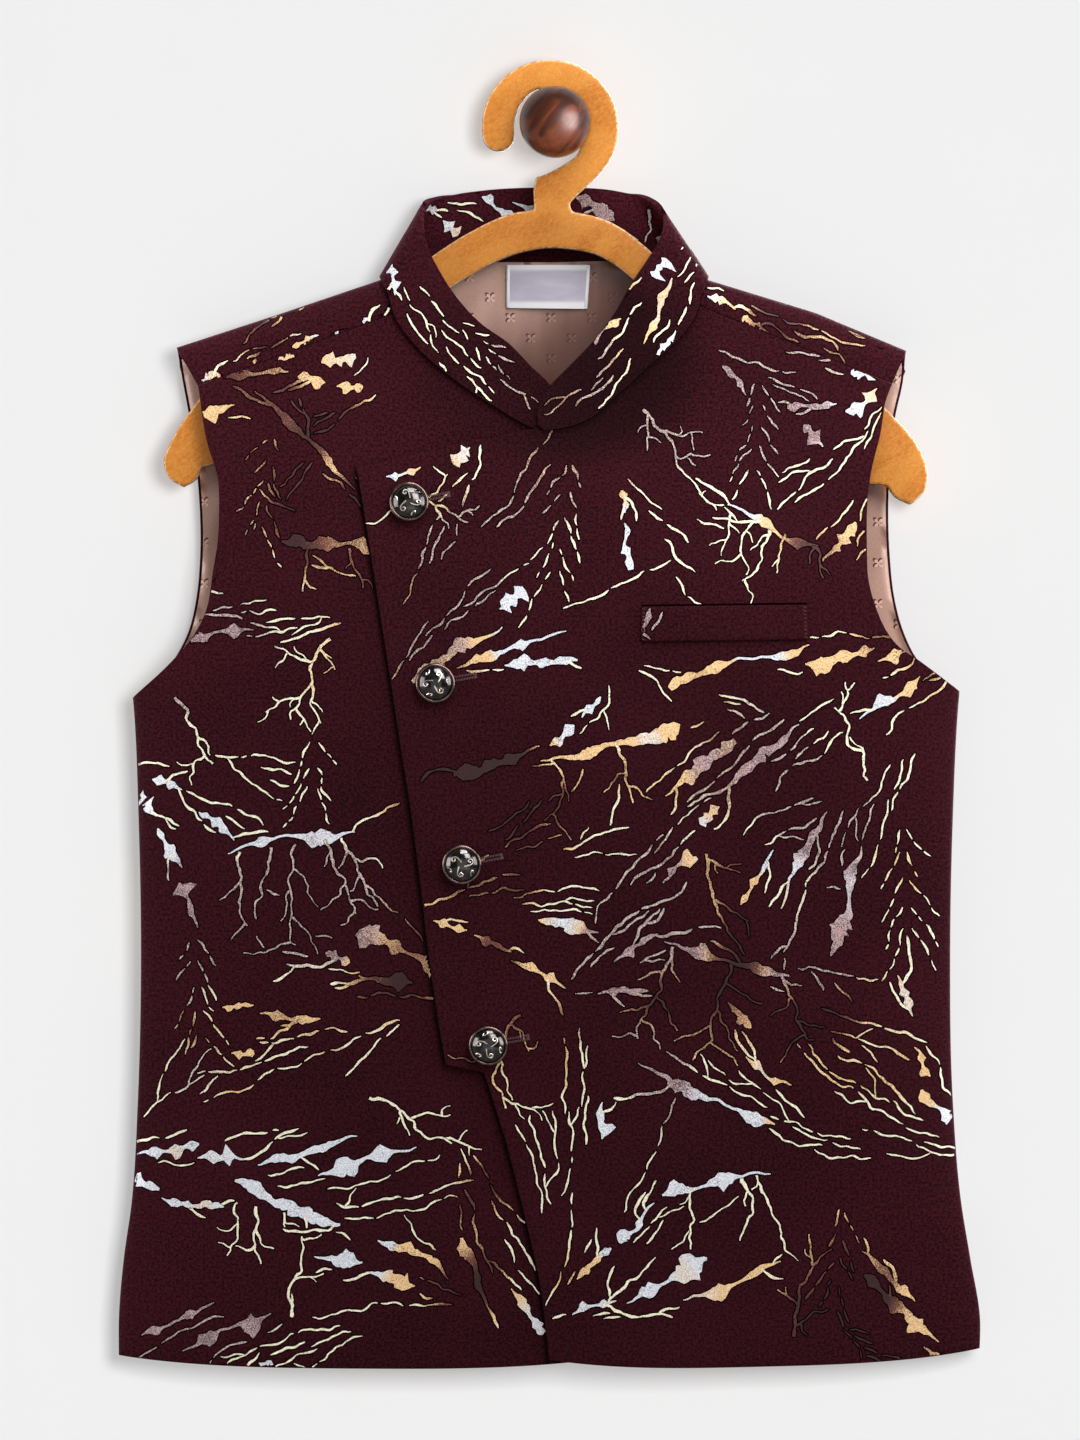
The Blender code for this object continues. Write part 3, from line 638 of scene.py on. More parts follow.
def back_rows(step):
    """The back's outer points: over each shoulder from the front seam to the fold, then down to the hem."""
    shares = back_columns(step)
    rows = [[wrap_point(share, wrap) for share in shares] for wrap in (1.0, *WRAP_STEPS[::-1])]
    for at in [0.0, *WRAP_STEPS] + row_indices(BACK, step + 1.0)[1:]:
        if rows and WRAP_STEPS[-1] < at < WRAP_STEPS[-1] + 0.15:
            continue
        row = []
        for share in shares:
            x, z = back_point(at, share)
            lift = crease_lift(x, z, 1) * smooth_step((line_height(FOLD, x) - z) / 30.0)
            point = form_point(x, z, 1, lift=lift)
            if at >= BACK_UNDERARM_ROW:
                point.y = max(point.y, HANG_Y + side_gap(point.z))
            row.append(point)
        rows.append(row)
    return rows


def collar_lines(along):
    """Lines across the collar, each with its seam's end, its top end and what gives the point at an (x, z)."""
    seams = [Vector(row[:2]) for row in COLLAR]
    tops = [Vector(row[2:4]) for row in COLLAR]
    for k in range(along * (len(COLLAR) - 1) + 1):
        at = k / along
        side = COLLAR[ceil(at)].side or COLLAR[int(at)].side or -1

        def place(spot, inset=0.0):
            lift = lap_lift(*spot) if at >= COLLAR_OVER_FROM else 0.0
            return form_point(*spot, side, inset=inset, lift=lift)

        yield curve_point(seams, (), at), curve_point(tops, (), at), place


def collar_rows(along, across):
    """The collar's outer points, `along` rows for each row of COLLAR, from the seam to the top edge."""
    rows = []
    for seam, top, place in collar_lines(along):
        first = COLLAR_GAP / (top - seam).length
        rows.append([place(seam.lerp(top, first + (1 - first) * j / across)) for j in range(across + 1)])
    return rows


# ---- Modelling ----


def deselect():
    if bpy.context.object and bpy.context.object.mode != "OBJECT":
        bpy.ops.object.mode_set(mode="OBJECT")
    bpy.ops.object.select_all(action="DESELECT")


def make_active(piece):
    deselect()
    piece.select_set(True)
    bpy.context.view_layer.objects.active = piece


def named(name):
    """The object that an operator has just added, with its name."""
    piece = bpy.context.object
    piece.name = piece.data.name = name
    return piece


def edited(piece, *steps):
    """Runs these steps in edit mode with all of the piece selected."""
    make_active(piece)
    bpy.ops.object.mode_set(mode="EDIT")
    bpy.ops.mesh.select_all(action="SELECT")
    for step in steps:
        step()
    bpy.ops.object.mode_set(mode="OBJECT")


def finish_with(piece, kind, **values):
    """Adds a modifier with these values and applies it."""
    make_active(piece)
    modifier = piece.modifiers.new(kind.lower(), kind)
    for key, value in values.items():
        setattr(modifier, key, value)
    bpy.ops.object.modifier_apply(modifier=modifier.name)


def place_in_mesh(piece):
    make_active(piece)
    bpy.ops.object.transform_apply(location=True, rotation=True, scale=True)


def joined(name, pieces):
    make_active(pieces[0])
    for piece in pieces:
        piece.select_set(True)
    if len(pieces) > 1:
        bpy.ops.object.join()
    return named(name)


def smooth(piece, angle=40.0):
    make_active(piece)
    bpy.ops.object.shade_smooth_by_angle(angle=radians(angle))


def in_place(piece, slot, *nodes):
    """Rides the finished piece on the jacket, with the nodes that it stands for and its finish."""
    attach(piece, BODY)
    if nodes:
        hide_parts(*nodes)
    return piece


def delete_where(piece, kind, elements, unwanted):
    edited(piece, lambda: bpy.ops.mesh.select_mode(type=kind), lambda: bpy.ops.mesh.select_all(action="DESELECT"))
    for element in elements:
        element.select = unwanted(element)
    bpy.ops.object.mode_set(mode="EDIT")
    bpy.ops.mesh.delete(type=kind)
    bpy.ops.mesh.select_mode(type="VERT")
    bpy.ops.object.mode_set(mode="OBJECT")


def cloth_grid(name, rows, side, materials, unwanted=None):
    """A grid primitive whose points are moved onto rows of points, in millimetres. side tells which way it looks."""
    down, across = len(rows) - 1, len(rows[0]) - 1
    deselect()
    bpy.ops.mesh.primitive_grid_add(x_subdivisions=across, y_subdivisions=down, size=1.0)
    piece = named(name)
    mesh = piece.data
    flat = [value * MM for row in rows for point in row for value in point]
    if len(flat) != 3 * len(mesh.vertices):
        raise RuntimeError(f"{name}: the grid has {len(mesh.vertices)} points and its rows {len(flat) // 3}")
    mesh.vertices.foreach_set("co", flat)
    mesh.update()
    for material in materials:
        mesh.materials.append(material)
    places = mesh.uv_layers[0] if mesh.uv_layers else mesh.uv_layers.new()
    places.name = "cloth"
    for loop in mesh.loops:
        point = mesh.vertices[loop.vertex_index].co
        places.data[loop.index].uv = (point.x, point.z)
    if mesh.polygons[(down // 2) * across + across // 2].normal.y * side < 0:
        edited(piece, bpy.ops.mesh.flip_normals)
    if unwanted:
        delete_where(piece, "FACE", mesh.polygons, lambda face: unwanted(face.index // across, face.index % across))
    return piece


def cut_area(rows):
    """The area of the flat cut, in square metres."""
    total = 0.0
    for upper, lower in zip(rows, rows[1:]):
        for a, b, c, d in zip(upper, upper[1:], lower[1:], lower):
            total += ((c - a).cross(d - b)).length / 2
    return total * MM * MM


def cloth_wall(piece, thickness, edge, grow=-1.0, lined=False):
    finish_with(
        piece, "SOLIDIFY", thickness=thickness * MM, offset=grow, use_rim=True,
        material_offset=1 if lined else 0, material_offset_rim=0,
    )
    finish_with(
        piece, "BEVEL", width=edge, segments=3, limit_method="ANGLE", angle_limit=radians(48),
        use_clamp_overlap=True,
    )
    make_active(piece)
    bpy.ops.object.shade_smooth()


def patch_rows(corners, across, down, place):
    """A grid over four corners, listed clockwise from the upper left; place gives the point at (x, z)."""
    upper_left, upper_right, lower_right, lower_left = (Vector(corner) for corner in corners)
    rows = []
    for j in range(down + 1):
        left, right = upper_left.lerp(lower_left, j / down), upper_right.lerp(lower_right, j / down)
        rows.append([place(*left.lerp(right, k / across)) for k in range(across + 1)])
    return rows


# ---- Shaders ----


class Tree:
    """A node tree with short ways to add and link nodes."""

    def __init__(self, tree):
        self.tree = tree

    def node(self, kind, inputs=None, **values):
        node = self.tree.nodes.new("ShaderNode" + kind)
        for key, value in values.items():
            setattr(node, key, value)
        for key, value in (inputs or {}).items():
            if isinstance(value, bpy.types.NodeSocket):
                self.tree.links.new(value, node.inputs[key])
            else:
                node.inputs[key].default_value = value
        return node

    def math(self, operation, a, b=0.0, c=0.0, clamp=False):
        return self.node("Math", {0: a, 1: b, 2: c}, operation=operation, use_clamp=clamp).outputs[0]

    plus = partialmethod(math, "ADD")
    minus = partialmethod(math, "SUBTRACT")
    times = partialmethod(math, "MULTIPLY")
    over = partialmethod(math, "DIVIDE")
    times_plus = partialmethod(math, "MULTIPLY_ADD")
    size_of = partialmethod(math, "ABSOLUTE")

    def split(self, vector):
        return self.node("SeparateXYZ", {0: vector}).outputs

    def grey(self, a):
        return self.node("CombineXYZ", {0: a, 1: a, 2: a}).outputs[0]

    def on_object(self):
        return self.node("TexCoord").outputs["Object"]

    def on_cloth(self):
        return self.node("UVMap", uv_map="cloth").outputs[0]

    def mapped(self, vector, **inputs):
        return self.node("Mapping", {"Vector": vector, **inputs}).outputs[0]

    def link(self, value, socket):
        self.tree.links.new(value, socket)

    def mix(self, share, a, b, blend="MIX"):
        node = self.node("Mix", {0: share, 6: a, 7: b}, data_type="RGBA", blend_type=blend)
        return node.outputs[2]

    def noise(self, vector, scale, detail=2.0, roughness=0.5, distortion=0.0):
        node = self.node(
            "TexNoise",
            {"Vector": vector, "Scale": scale, "Detail": detail, "Roughness": roughness, "Distortion": distortion},
        )
        return node.outputs["Fac"]

    def ramp(self, value, low, high, to_low=0.0, to_high=1.0):
        inputs = {0: value, 1: low, 2: high, 3: to_low, 4: to_high}
        node = self.node("MapRange", inputs, interpolation_type="SMOOTHSTEP")
        return node.outputs[0]

    def along_points(self, value, points):
        """The line through points (value, result), which are joined straight, read at a value."""
        points = sorted(points)
        low, high = points[0][0], points[-1][0]
        base, top = min(p[1] for p in points), max(p[1] for p in points)
        share = self.times_plus(value, 1 / (high - low), -low / (high - low), clamp=True)
        node = self.node("ValToRGB", {0: share})
        stops = node.color_ramp.elements
        for x, y in points[1:-1]:
            stops.new((x - low) / (high - low))
        for stop, (x, y) in zip(stops, points):
            stop.position = (x - low) / (high - low)
            stop.color = (*[(y - base) / (top - base)] * 3, 1.0)
        return self.times_plus(node.outputs[0], top - base, base)

    def bump(self, height, strength, distance, normal=None):
        inputs = {"Height": height, "Strength": strength, "Distance": distance}
        if normal is not None:
            inputs["Normal"] = normal
        return self.node("Bump", inputs).outputs[0]


def group(name, inputs, outputs):
    """Turns a function that fills a node tree into one that gives the group of this name, built once.

    The inputs are given with their defaults, and None is a vector's.
    """

    def decorate(fill):
        def give():
            if name in bpy.data.node_groups:
                return bpy.data.node_groups[name]
            tree = bpy.data.node_groups.new(name, "ShaderNodeTree")
            for socket, default in inputs.items():
                kind = "NodeSocketVector" if default is None else "NodeSocketFloat"
                made = tree.interface.new_socket(name=socket, in_out="INPUT", socket_type=kind)
                if default is not None:
                    made.default_value = default
            for socket in outputs:
                tree.interface.new_socket(name=socket, in_out="OUTPUT", socket_type="NodeSocketFloat")
            given, out = tree.nodes.new("NodeGroupInput").outputs, tree.nodes.new("NodeGroupOutput").inputs
            for socket, value in fill(Tree(tree), *given[:len(inputs)]).items():
                tree.links.new(value, out[socket])
            return tree

        return give

    return decorate


@group("plain_weave", {"Vector": None, "Thread": 0.0004}, ("Height", "Tone"))
def weave_group(t, vector, thread):
    """A plain weave: threads over and under each other, with uneven thickness and tone."""
    across, up, _ = t.split(vector)
    drift = t.times(t.noise(vector, 260.0, 2.0), 1.4)
    u = t.plus(t.over(across, thread), drift)
    v = t.plus(t.over(up, thread), drift)
    warp = t.size_of(t.math("SINE", t.times(u, pi)))
    weft = t.size_of(t.math("SINE", t.times(v, pi)))
    steps = t.plus(t.math("FLOOR", u), t.math("FLOOR", v))
    over = t.math("GREATER_THAN", t.math("FRACT", t.times(steps, 0.5)), 0.25)
    height = t.plus(t.times(warp, over), t.times(weft, t.minus(1.0, over)))
    slub = t.ramp(t.noise(vector, 900.0, 3.0, 0.75), 0.36, 0.64)
    return {"Height": height, "Tone": t.times_plus(height, 0.3, t.times(slub, 0.7))}


@group("woven_flowers", {"Vector": None, "Pitch": 0.0084, "Size": 0.0024}, ("Petal", "Outline"))
def motif_group(t, vector, pitch, size):
    """Small flowers of four petals on a staggered net, as woven into the lining."""

    def depth_in_petals(across, up):
        """How far a place lies inside a petal, when the flowers are shifted by this much."""
        moved = t.node("VectorMath", {0: vector, 1: (-across, -up, 0.0)}, operation="ADD").outputs[0]
        split = t.split(moved)
        places = []
        for sign, phase in ((1.0, 0.345), (-1.0, -0.19)):
            slanted = t.times_plus(split[1], sign, split[0])
            turns = t.over(slanted, t.times(pitch, 2.0))
            cell = t.math("FRACT", t.plus(turns, phase))
            places.append(t.times(t.minus(cell, 0.5), t.times(pitch, 1.414)))
        p, q = places
        pp, qq = t.times(p, p), t.times(q, q)
        square = t.plus(t.plus(pp, qq), 1e-9)
        petals = t.over(t.size_of(t.minus(pp, qq)), square)
        lobe = t.times_plus(petals, 0.95, 0.05)
        return t.minus(t.times(lobe, size), t.math("SQRT", square))

    petal = t.ramp(depth_in_petals(0.0, 0.0), 0.0001, 0.0004)
    shade = t.ramp(depth_in_petals(-0.0004, 0.00045), -0.0003, 0.0001)
    return {"Petal": petal, "Outline": t.minus(shade, petal, clamp=True)}


@group("wood_grain", {"Vector": None, "Stretch": 6.0, "Scale": 300.0, "Band": 60.0}, ("Fleck", "Band", "Pore"))
def grain_group(t, vector, stretch, scale, band):
    """Wood: long soft flecks along the grain, bands across it, and fine pores."""
    along, across, deep = t.split(vector)
    drawn = t.node("CombineXYZ", {0: t.over(along, stretch), 1: across, 2: deep}).outputs[0]
    return {
        "Fleck": t.ramp(t.noise(drawn, scale, 3.0, 0.65, 0.4), 0.3, 0.7),
        "Band": t.ramp(t.noise(drawn, band, 2.0, 0.5, 0.8), 0.35, 0.65),
        "Pore": t.noise(drawn, t.times(scale, 5.0), 1.0, 0.5),
    }


def finish(name, roughness=0.5, **plain):
    """Turns a function that paints a node tree into one that gives the material of this name, made once.

    Even values are set on the Principled shader's own sockets. The function gets the tree and `look`, which links
    what varies to the sockets that it names.
    """

    def decorate(paint):
        def give():
            material = bpy.data.materials.get(name)
            if material:
                return material
            material = bpy.data.materials.new(name)
            material.use_nodes = True
            shader = material.node_tree.nodes["Principled BSDF"].inputs
            for key, value in {"Roughness": roughness, **plain}.items():
                shader[key.replace("_", " ")].default_value = value

            def look(**values):
                for key, value in values.items():
                    material.node_tree.links.new(value, shader[key.replace("_", " ")])

            paint(Tree(material.node_tree), look)
            return material

        return give

    return decorate


def rgba(colour, times=1.0):
    return (*[min(1.0, part * times) for part in colour], 1.0)


@finish(
    "wine_suiting", 0.82, Sheen_Weight=0.12, Sheen_Roughness=0.4, Sheen_Tint=(0.85, 0.24, 0.37, 1.0),
    Specular_IOR_Level=0.05,
)
def suiting_material(t, look):
    cloth = bpy.context.scene.jacket_cloth
    places = t.on_cloth()
    weave = t.node("Group", {"Vector": places, "Thread": cloth.thread}, node_tree=weave_group())
    drift = t.noise(places, 15.0, 3.0, 0.55)
    tone = t.times_plus(drift, 0.45, weave.outputs["Tone"])
    colour = t.mix(t.ramp(tone, 0.25, 1.25), rgba(cloth.suiting, 0.3), rgba(cloth.suiting, 1.8))
    # painted shade: the cloth is darker round the throat, most to the right of it, as where the collar shades it
    across, up, _ = t.split(places)
    wide, tall = t.over(across, 0.056), t.over(t.plus(up, 0.098), 0.040)
    off = t.plus(t.times(wide, wide), t.times(tall, tall))
    throat = t.times(t.ramp(off, 1.6, 0.5), t.ramp(across, -0.03, 0.015, 0.32, 0.7))
    # painted light: the cloth is paler over the shoulders and at the sides, as where the lights fall on it, and a
    # touch paler towards the hem
    high = t.plus(t.ramp(up, -0.27, -0.12, 0.0, 0.26), t.ramp(up, -0.055, -0.035, 0.0, 0.45))
    outward = t.ramp(t.size_of(across), 0.07, 0.17, 0.0, 0.2)
    pale = t.plus(t.plus(high, outward), t.ramp(up, -0.28, -0.42, 1.0, 1.04))
    # the edge of the lap shades the cloth beside it
    x, y, z = t.split(t.on_object())
    beyond = t.minus(t.along_points(z, [(row.start_z * MM, row.start_x * MM) for row in LAP_EDGE]), x)
    near = t.times(t.ramp(beyond, -0.0003, 0.0), t.ramp(beyond, 0.0026, 0.0))
    along = t.times(t.ramp(z, -0.1405, -0.1425), t.ramp(y, -0.022, -0.026))
    shaded = t.times(t.times(near, along), 0.8)
    dim = t.times(pale, t.minus(1.0, shaded))
    # painted light and shade in one, with green and blue raised more than red where the cloth is paler
    evened = t.node("CombineXYZ", {0: dim, 1: t.math("POWER", dim, 1.3), 2: t.math("POWER", dim, 1.15)}).outputs[0]
    look(Base_Color=t.mix(1.0, t.mix(throat, colour, rgba(cloth.suiting, 0.1)), evened, "MULTIPLY"))
    look(Roughness=t.ramp(tone, 0.3, 1.1, 0.9, 0.72))
    fibre = t.noise(places, 5200.0, 1.0)
    height = t.times_plus(fibre, 0.4, weave.outputs["Height"])
    look(Normal=t.bump(height, 0.45, 0.00012))


@finish("rose_brown_satin", 0.36, Sheen_Weight=0.1, Sheen_Roughness=0.3, Specular_IOR_Level=0.45)
def lining_material(t, look):
    cloth = bpy.context.scene.jacket_cloth
    places = t.on_cloth()
    flowers = t.node("Group", {"Vector": places}, node_tree=motif_group())
    petal, outline = flowers.outputs["Petal"], flowers.outputs["Outline"]
    threads = t.mapped(places, Scale=(1.0, 0.12, 1.0))
    fine = t.noise(threads, 5200.0, 2.0, 0.6)
    ground = t.mix(t.ramp(fine, 0.3, 0.7), rgba(cloth.lining, 0.88), rgba(cloth.lining, 1.08))
    darker = t.mix(outline, ground, rgba(cloth.motif))
    lighter = t.mix(t.times(petal, 0.9), darker, rgba(cloth.lining, 1.5))
    # painted shade: the satin is darker to the right and low in the neck, in slanting streaks, as where the collar
    # shades it
    across, up, _ = t.split(places)
    slanting = t.mapped(places, Rotation=(0.0, 0.0, radians(-42.0)), Scale=(1.0, 0.25, 1.0))
    streaks = t.noise(slanting, 75.0, 2.0)
    slanted = t.times_plus(streaks, 0.026, t.times_plus(up, -0.9, across))
    shade = t.times(t.ramp(slanted, 0.043, 0.105), t.ramp(across, 0.1, 0.07))
    deep = t.times(shade, t.ramp(up, -0.16, -0.125))
    look(Base_Color=t.mix(t.times(deep, 0.93), lighter, rgba(cloth.lining_shade)))
    look(Roughness=t.ramp(petal, 0.0, 1.0, 0.32, 0.5))
    height = t.times_plus(petal, 1.0, t.times(fine, 0.25))
    look(Normal=t.bump(height, 0.5, 0.00015))


@finish("worn_foil", 0.42, Metallic=0.25, Specular_IOR_Level=0.4)
def foil_material(t, look):
    read = t.node("Attribute", attribute_name="foil").outputs
    places = t.on_object()
    specks = t.noise(places, 2100.0, 2.0, 0.75)
    patches = t.noise(places, 130.0, 2.0, 0.6)
    gone = t.plus(t.times_plus(patches, 0.3, specks), t.times(read["Alpha"], 0.34))
    worn = t.ramp(gone, 0.92, 0.78)
    bared = t.mix(0.72, read["Color"], rgba(bpy.context.scene.jacket_cloth.suiting, 1.3))
    # painted glint: the foil's colour brighter and darker in fine specks
    glint = t.ramp(specks, 0.35, 0.66, 0.72, 1.22)
    grey = t.grey(glint)
    look(Base_Color=t.mix(1.0, t.mix(worn, read["Color"], bared), grey, "MULTIPLY"))
    # the dark line round the foil doesn't shine
    red = t.node("SeparateColor", {0: read["Color"]}).outputs[0]
    look(Metallic=t.ramp(red, 0.004, 0.012, 1.0, 0.25))
    look(Roughness=t.ramp(specks, 0.3, 0.7, 0.36, 0.6))
    look(Normal=t.bump(specks, 0.3, 0.00007))


@finish("rosy_thread", 0.5, Sheen_Weight=0.2, Sheen_Roughness=0.4)
def thread_material(t, look):
    trim = bpy.context.scene.jacket_trim
    ply = t.noise(t.on_object(), 2600.0, 2.0, 0.6)
    look(Base_Color=t.mix(ply, rgba(trim.thread, 0.6), rgba(trim.thread, 1.35)))
    look(Normal=t.bump(ply, 0.5, 0.0001))


@finish("white_satin", 0.32, Specular_IOR_Level=0.7, Sheen_Weight=0.1)
def label_material(t, look):
    trim = bpy.context.scene.jacket_trim
    places = t.on_cloth()
    threads = t.mapped(places, Scale=(0.2, 1.0, 1.0))
    fine = t.noise(threads, 4200.0, 2.0, 0.6)
    low = t.split(places)[1]
    # painted highlight: paler bands along the foot and the top of the label, where its turned edges catch the light
    foot = t.math("MAXIMUM", t.ramp(low, -0.0722, -0.0742), t.ramp(low, -0.0610, -0.0592))
    # painted sheen: soft paler bands over the satin
    shine = t.ramp(t.noise(t.mapped(places, Scale=(0.6, 2.0, 1.0)), 70.0), 0.4, 0.7)
    satin = t.mix(fine, rgba(trim.label, 0.85), rgba(trim.label, 1.12))
    lit = t.mix(t.times(shine, 0.35), satin, rgba(trim.label, 1.6))
    look(Base_Color=t.mix(t.times(foot, 0.8), lit, (0.66, 0.65, 0.66, 1.0)))
    look(Roughness=t.ramp(fine, 0.3, 0.7, 0.28, 0.42))
    look(Normal=t.bump(fine, 0.4, 0.00006))


def metal_material(name, colour, low, high):
    @finish(name, 0.2, Metallic=1.0)
    def metal(t, look):
        places = t.on_object()
        tarnish = t.noise(places, 420.0, 3.0, 0.6)
        look(Base_Color=t.mix(t.ramp(tarnish, 0.35, 0.65), rgba(colour, 0.65), rgba(colour, 1.2)))
        look(Roughness=t.ramp(tarnish, 0.3, 0.7, low, high))
        look(Normal=t.bump(t.noise(places, 2600.0, 1.0), 0.08, 0.00005))

    return metal()


def wood_grain(t, places, degrees, stretch, scale, band):
    """The grain's flecks, bands and pores, with the grain turned by so many degrees in the wall's plane."""
    turned = t.mapped(places, Rotation=(0.0, radians(degrees), 0.0))
    inputs = {"Vector": turned, "Stretch": stretch, "Scale": scale, "Band": band}
    return t.node("Group", inputs, node_tree=grain_group()).outputs


@finish("orange_varnished_wood", 0.42, Coat_Weight=0.08, Coat_Roughness=0.25, Specular_IOR_Level=0.15)
def hanger_material(t, look):
    wood = bpy.context.scene.jacket_wood
    places = t.on_object()
    fleck, band, pore = wood_grain(t, places, 38.0, 2.0, 950.0, 60.0)
    banded = t.mix(t.times_plus(band, 0.6, 0.15), rgba(wood.hanger), rgba(wood.hanger_pale))
    burnt = t.ramp(t.noise(places, 24.0, 3.0, 0.6), 0.5, 0.68)
    toned = t.mix(t.times(burnt, 0.12), banded, rgba(wood.hanger, 0.6))
    flecked = t.mix(t.times(fleck, 0.6), toned, rgba(wood.hanger_pale, 1.15))
    dotted = t.mix(t.ramp(pore, 0.54, 0.66, 0.0, 0.4), flecked, rgba(wood.hanger, 0.6))
    # the edge: pale along the rounded corner, partly bare worn wood and partly a painted highlight, then the side of
    # the board
    depth_in = t.size_of(t.minus(t.split(places)[1], HANG_Y * MM))
    corner = HANGER_THICK / 2 * MM
    rubbed_and_highlit = t.times(t.ramp(depth_in, corner - 0.00005, corner - 0.0004), t.ramp(fleck, 0.25, 0.6))
    worn = t.mix(t.times(rubbed_and_highlit, 0.7), dotted, rgba(wood.hanger_edge))
    # painted light and shade: the board's sides are pale where they face the lights, to the right and above, and dark
    # elsewhere
    looks = t.node("NewGeometry").outputs["Normal"]
    facing = t.node("VectorMath", {0: looks, 1: (0.85, 0.0, 0.2)}, operation="DOT_PRODUCT").outputs["Value"]
    sides = t.mix(t.ramp(facing, 0.05, 0.5), rgba(wood.hanger, 0.25), rgba(wood.hanger_edge))
    cut = t.mix(t.ramp(depth_in, corner - 0.0004, corner - 0.0011, 0.0, 0.8), worn, sides)
    # painted shade: the arch is darker deep in the collar, as where the collar shades it
    across, _, up = t.split(places)
    inner = t.times(t.ramp(t.size_of(across), 0.062, 0.045), t.ramp(up, -0.030, -0.044))
    shaded = t.mix(t.times(inner, 0.24), cut, rgba(wood.hanger, 0.1))
    look(Base_Color=shaded)
    look(Roughness=t.ramp(fleck, 0.0, 1.0, 0.36, 0.52))
    look(Normal=t.bump(fleck, 0.2, 0.0001))


@finish("dark_polished_wood", 0.3, Coat_Weight=0.7, Coat_Roughness=0.42, Specular_IOR_Level=0.3)
def knob_material(t, look):
    wood = bpy.context.scene.jacket_wood
    fleck, band, _ = wood_grain(t, t.on_object(), 52.0, 9.0, 600.0, 170.0)
    striped = t.mix(band, rgba(wood.knob), rgba(wood.knob_stripe))
    look(Base_Color=t.mix(t.times(fleck, 0.4), striped, rgba(wood.knob, 0.5)))
    look(Roughness=t.ramp(fleck, 0.0, 1.0, 0.24, 0.38))
    look(Normal=t.bump(fleck, 0.12, 0.0001))


# ---- The foil print ----

EDGE = 0.54  # width of the dark line round the foil, in millimetres
OUTLINE = (0.0035, 0.0012, 0.0018, 1.0)  # that line's colour
ROOM = 6.0  # side of the cells that say where foil lies, in millimetres


def heading_vector(angle):
    return Vector((cos(angle), sin(angle)))


def waver(at, lane):
    """Smooth noise along a line, from about -1 to 1."""
    return 1.6 * noise.noise(Vector((at, lane, 0.37 * lane)))


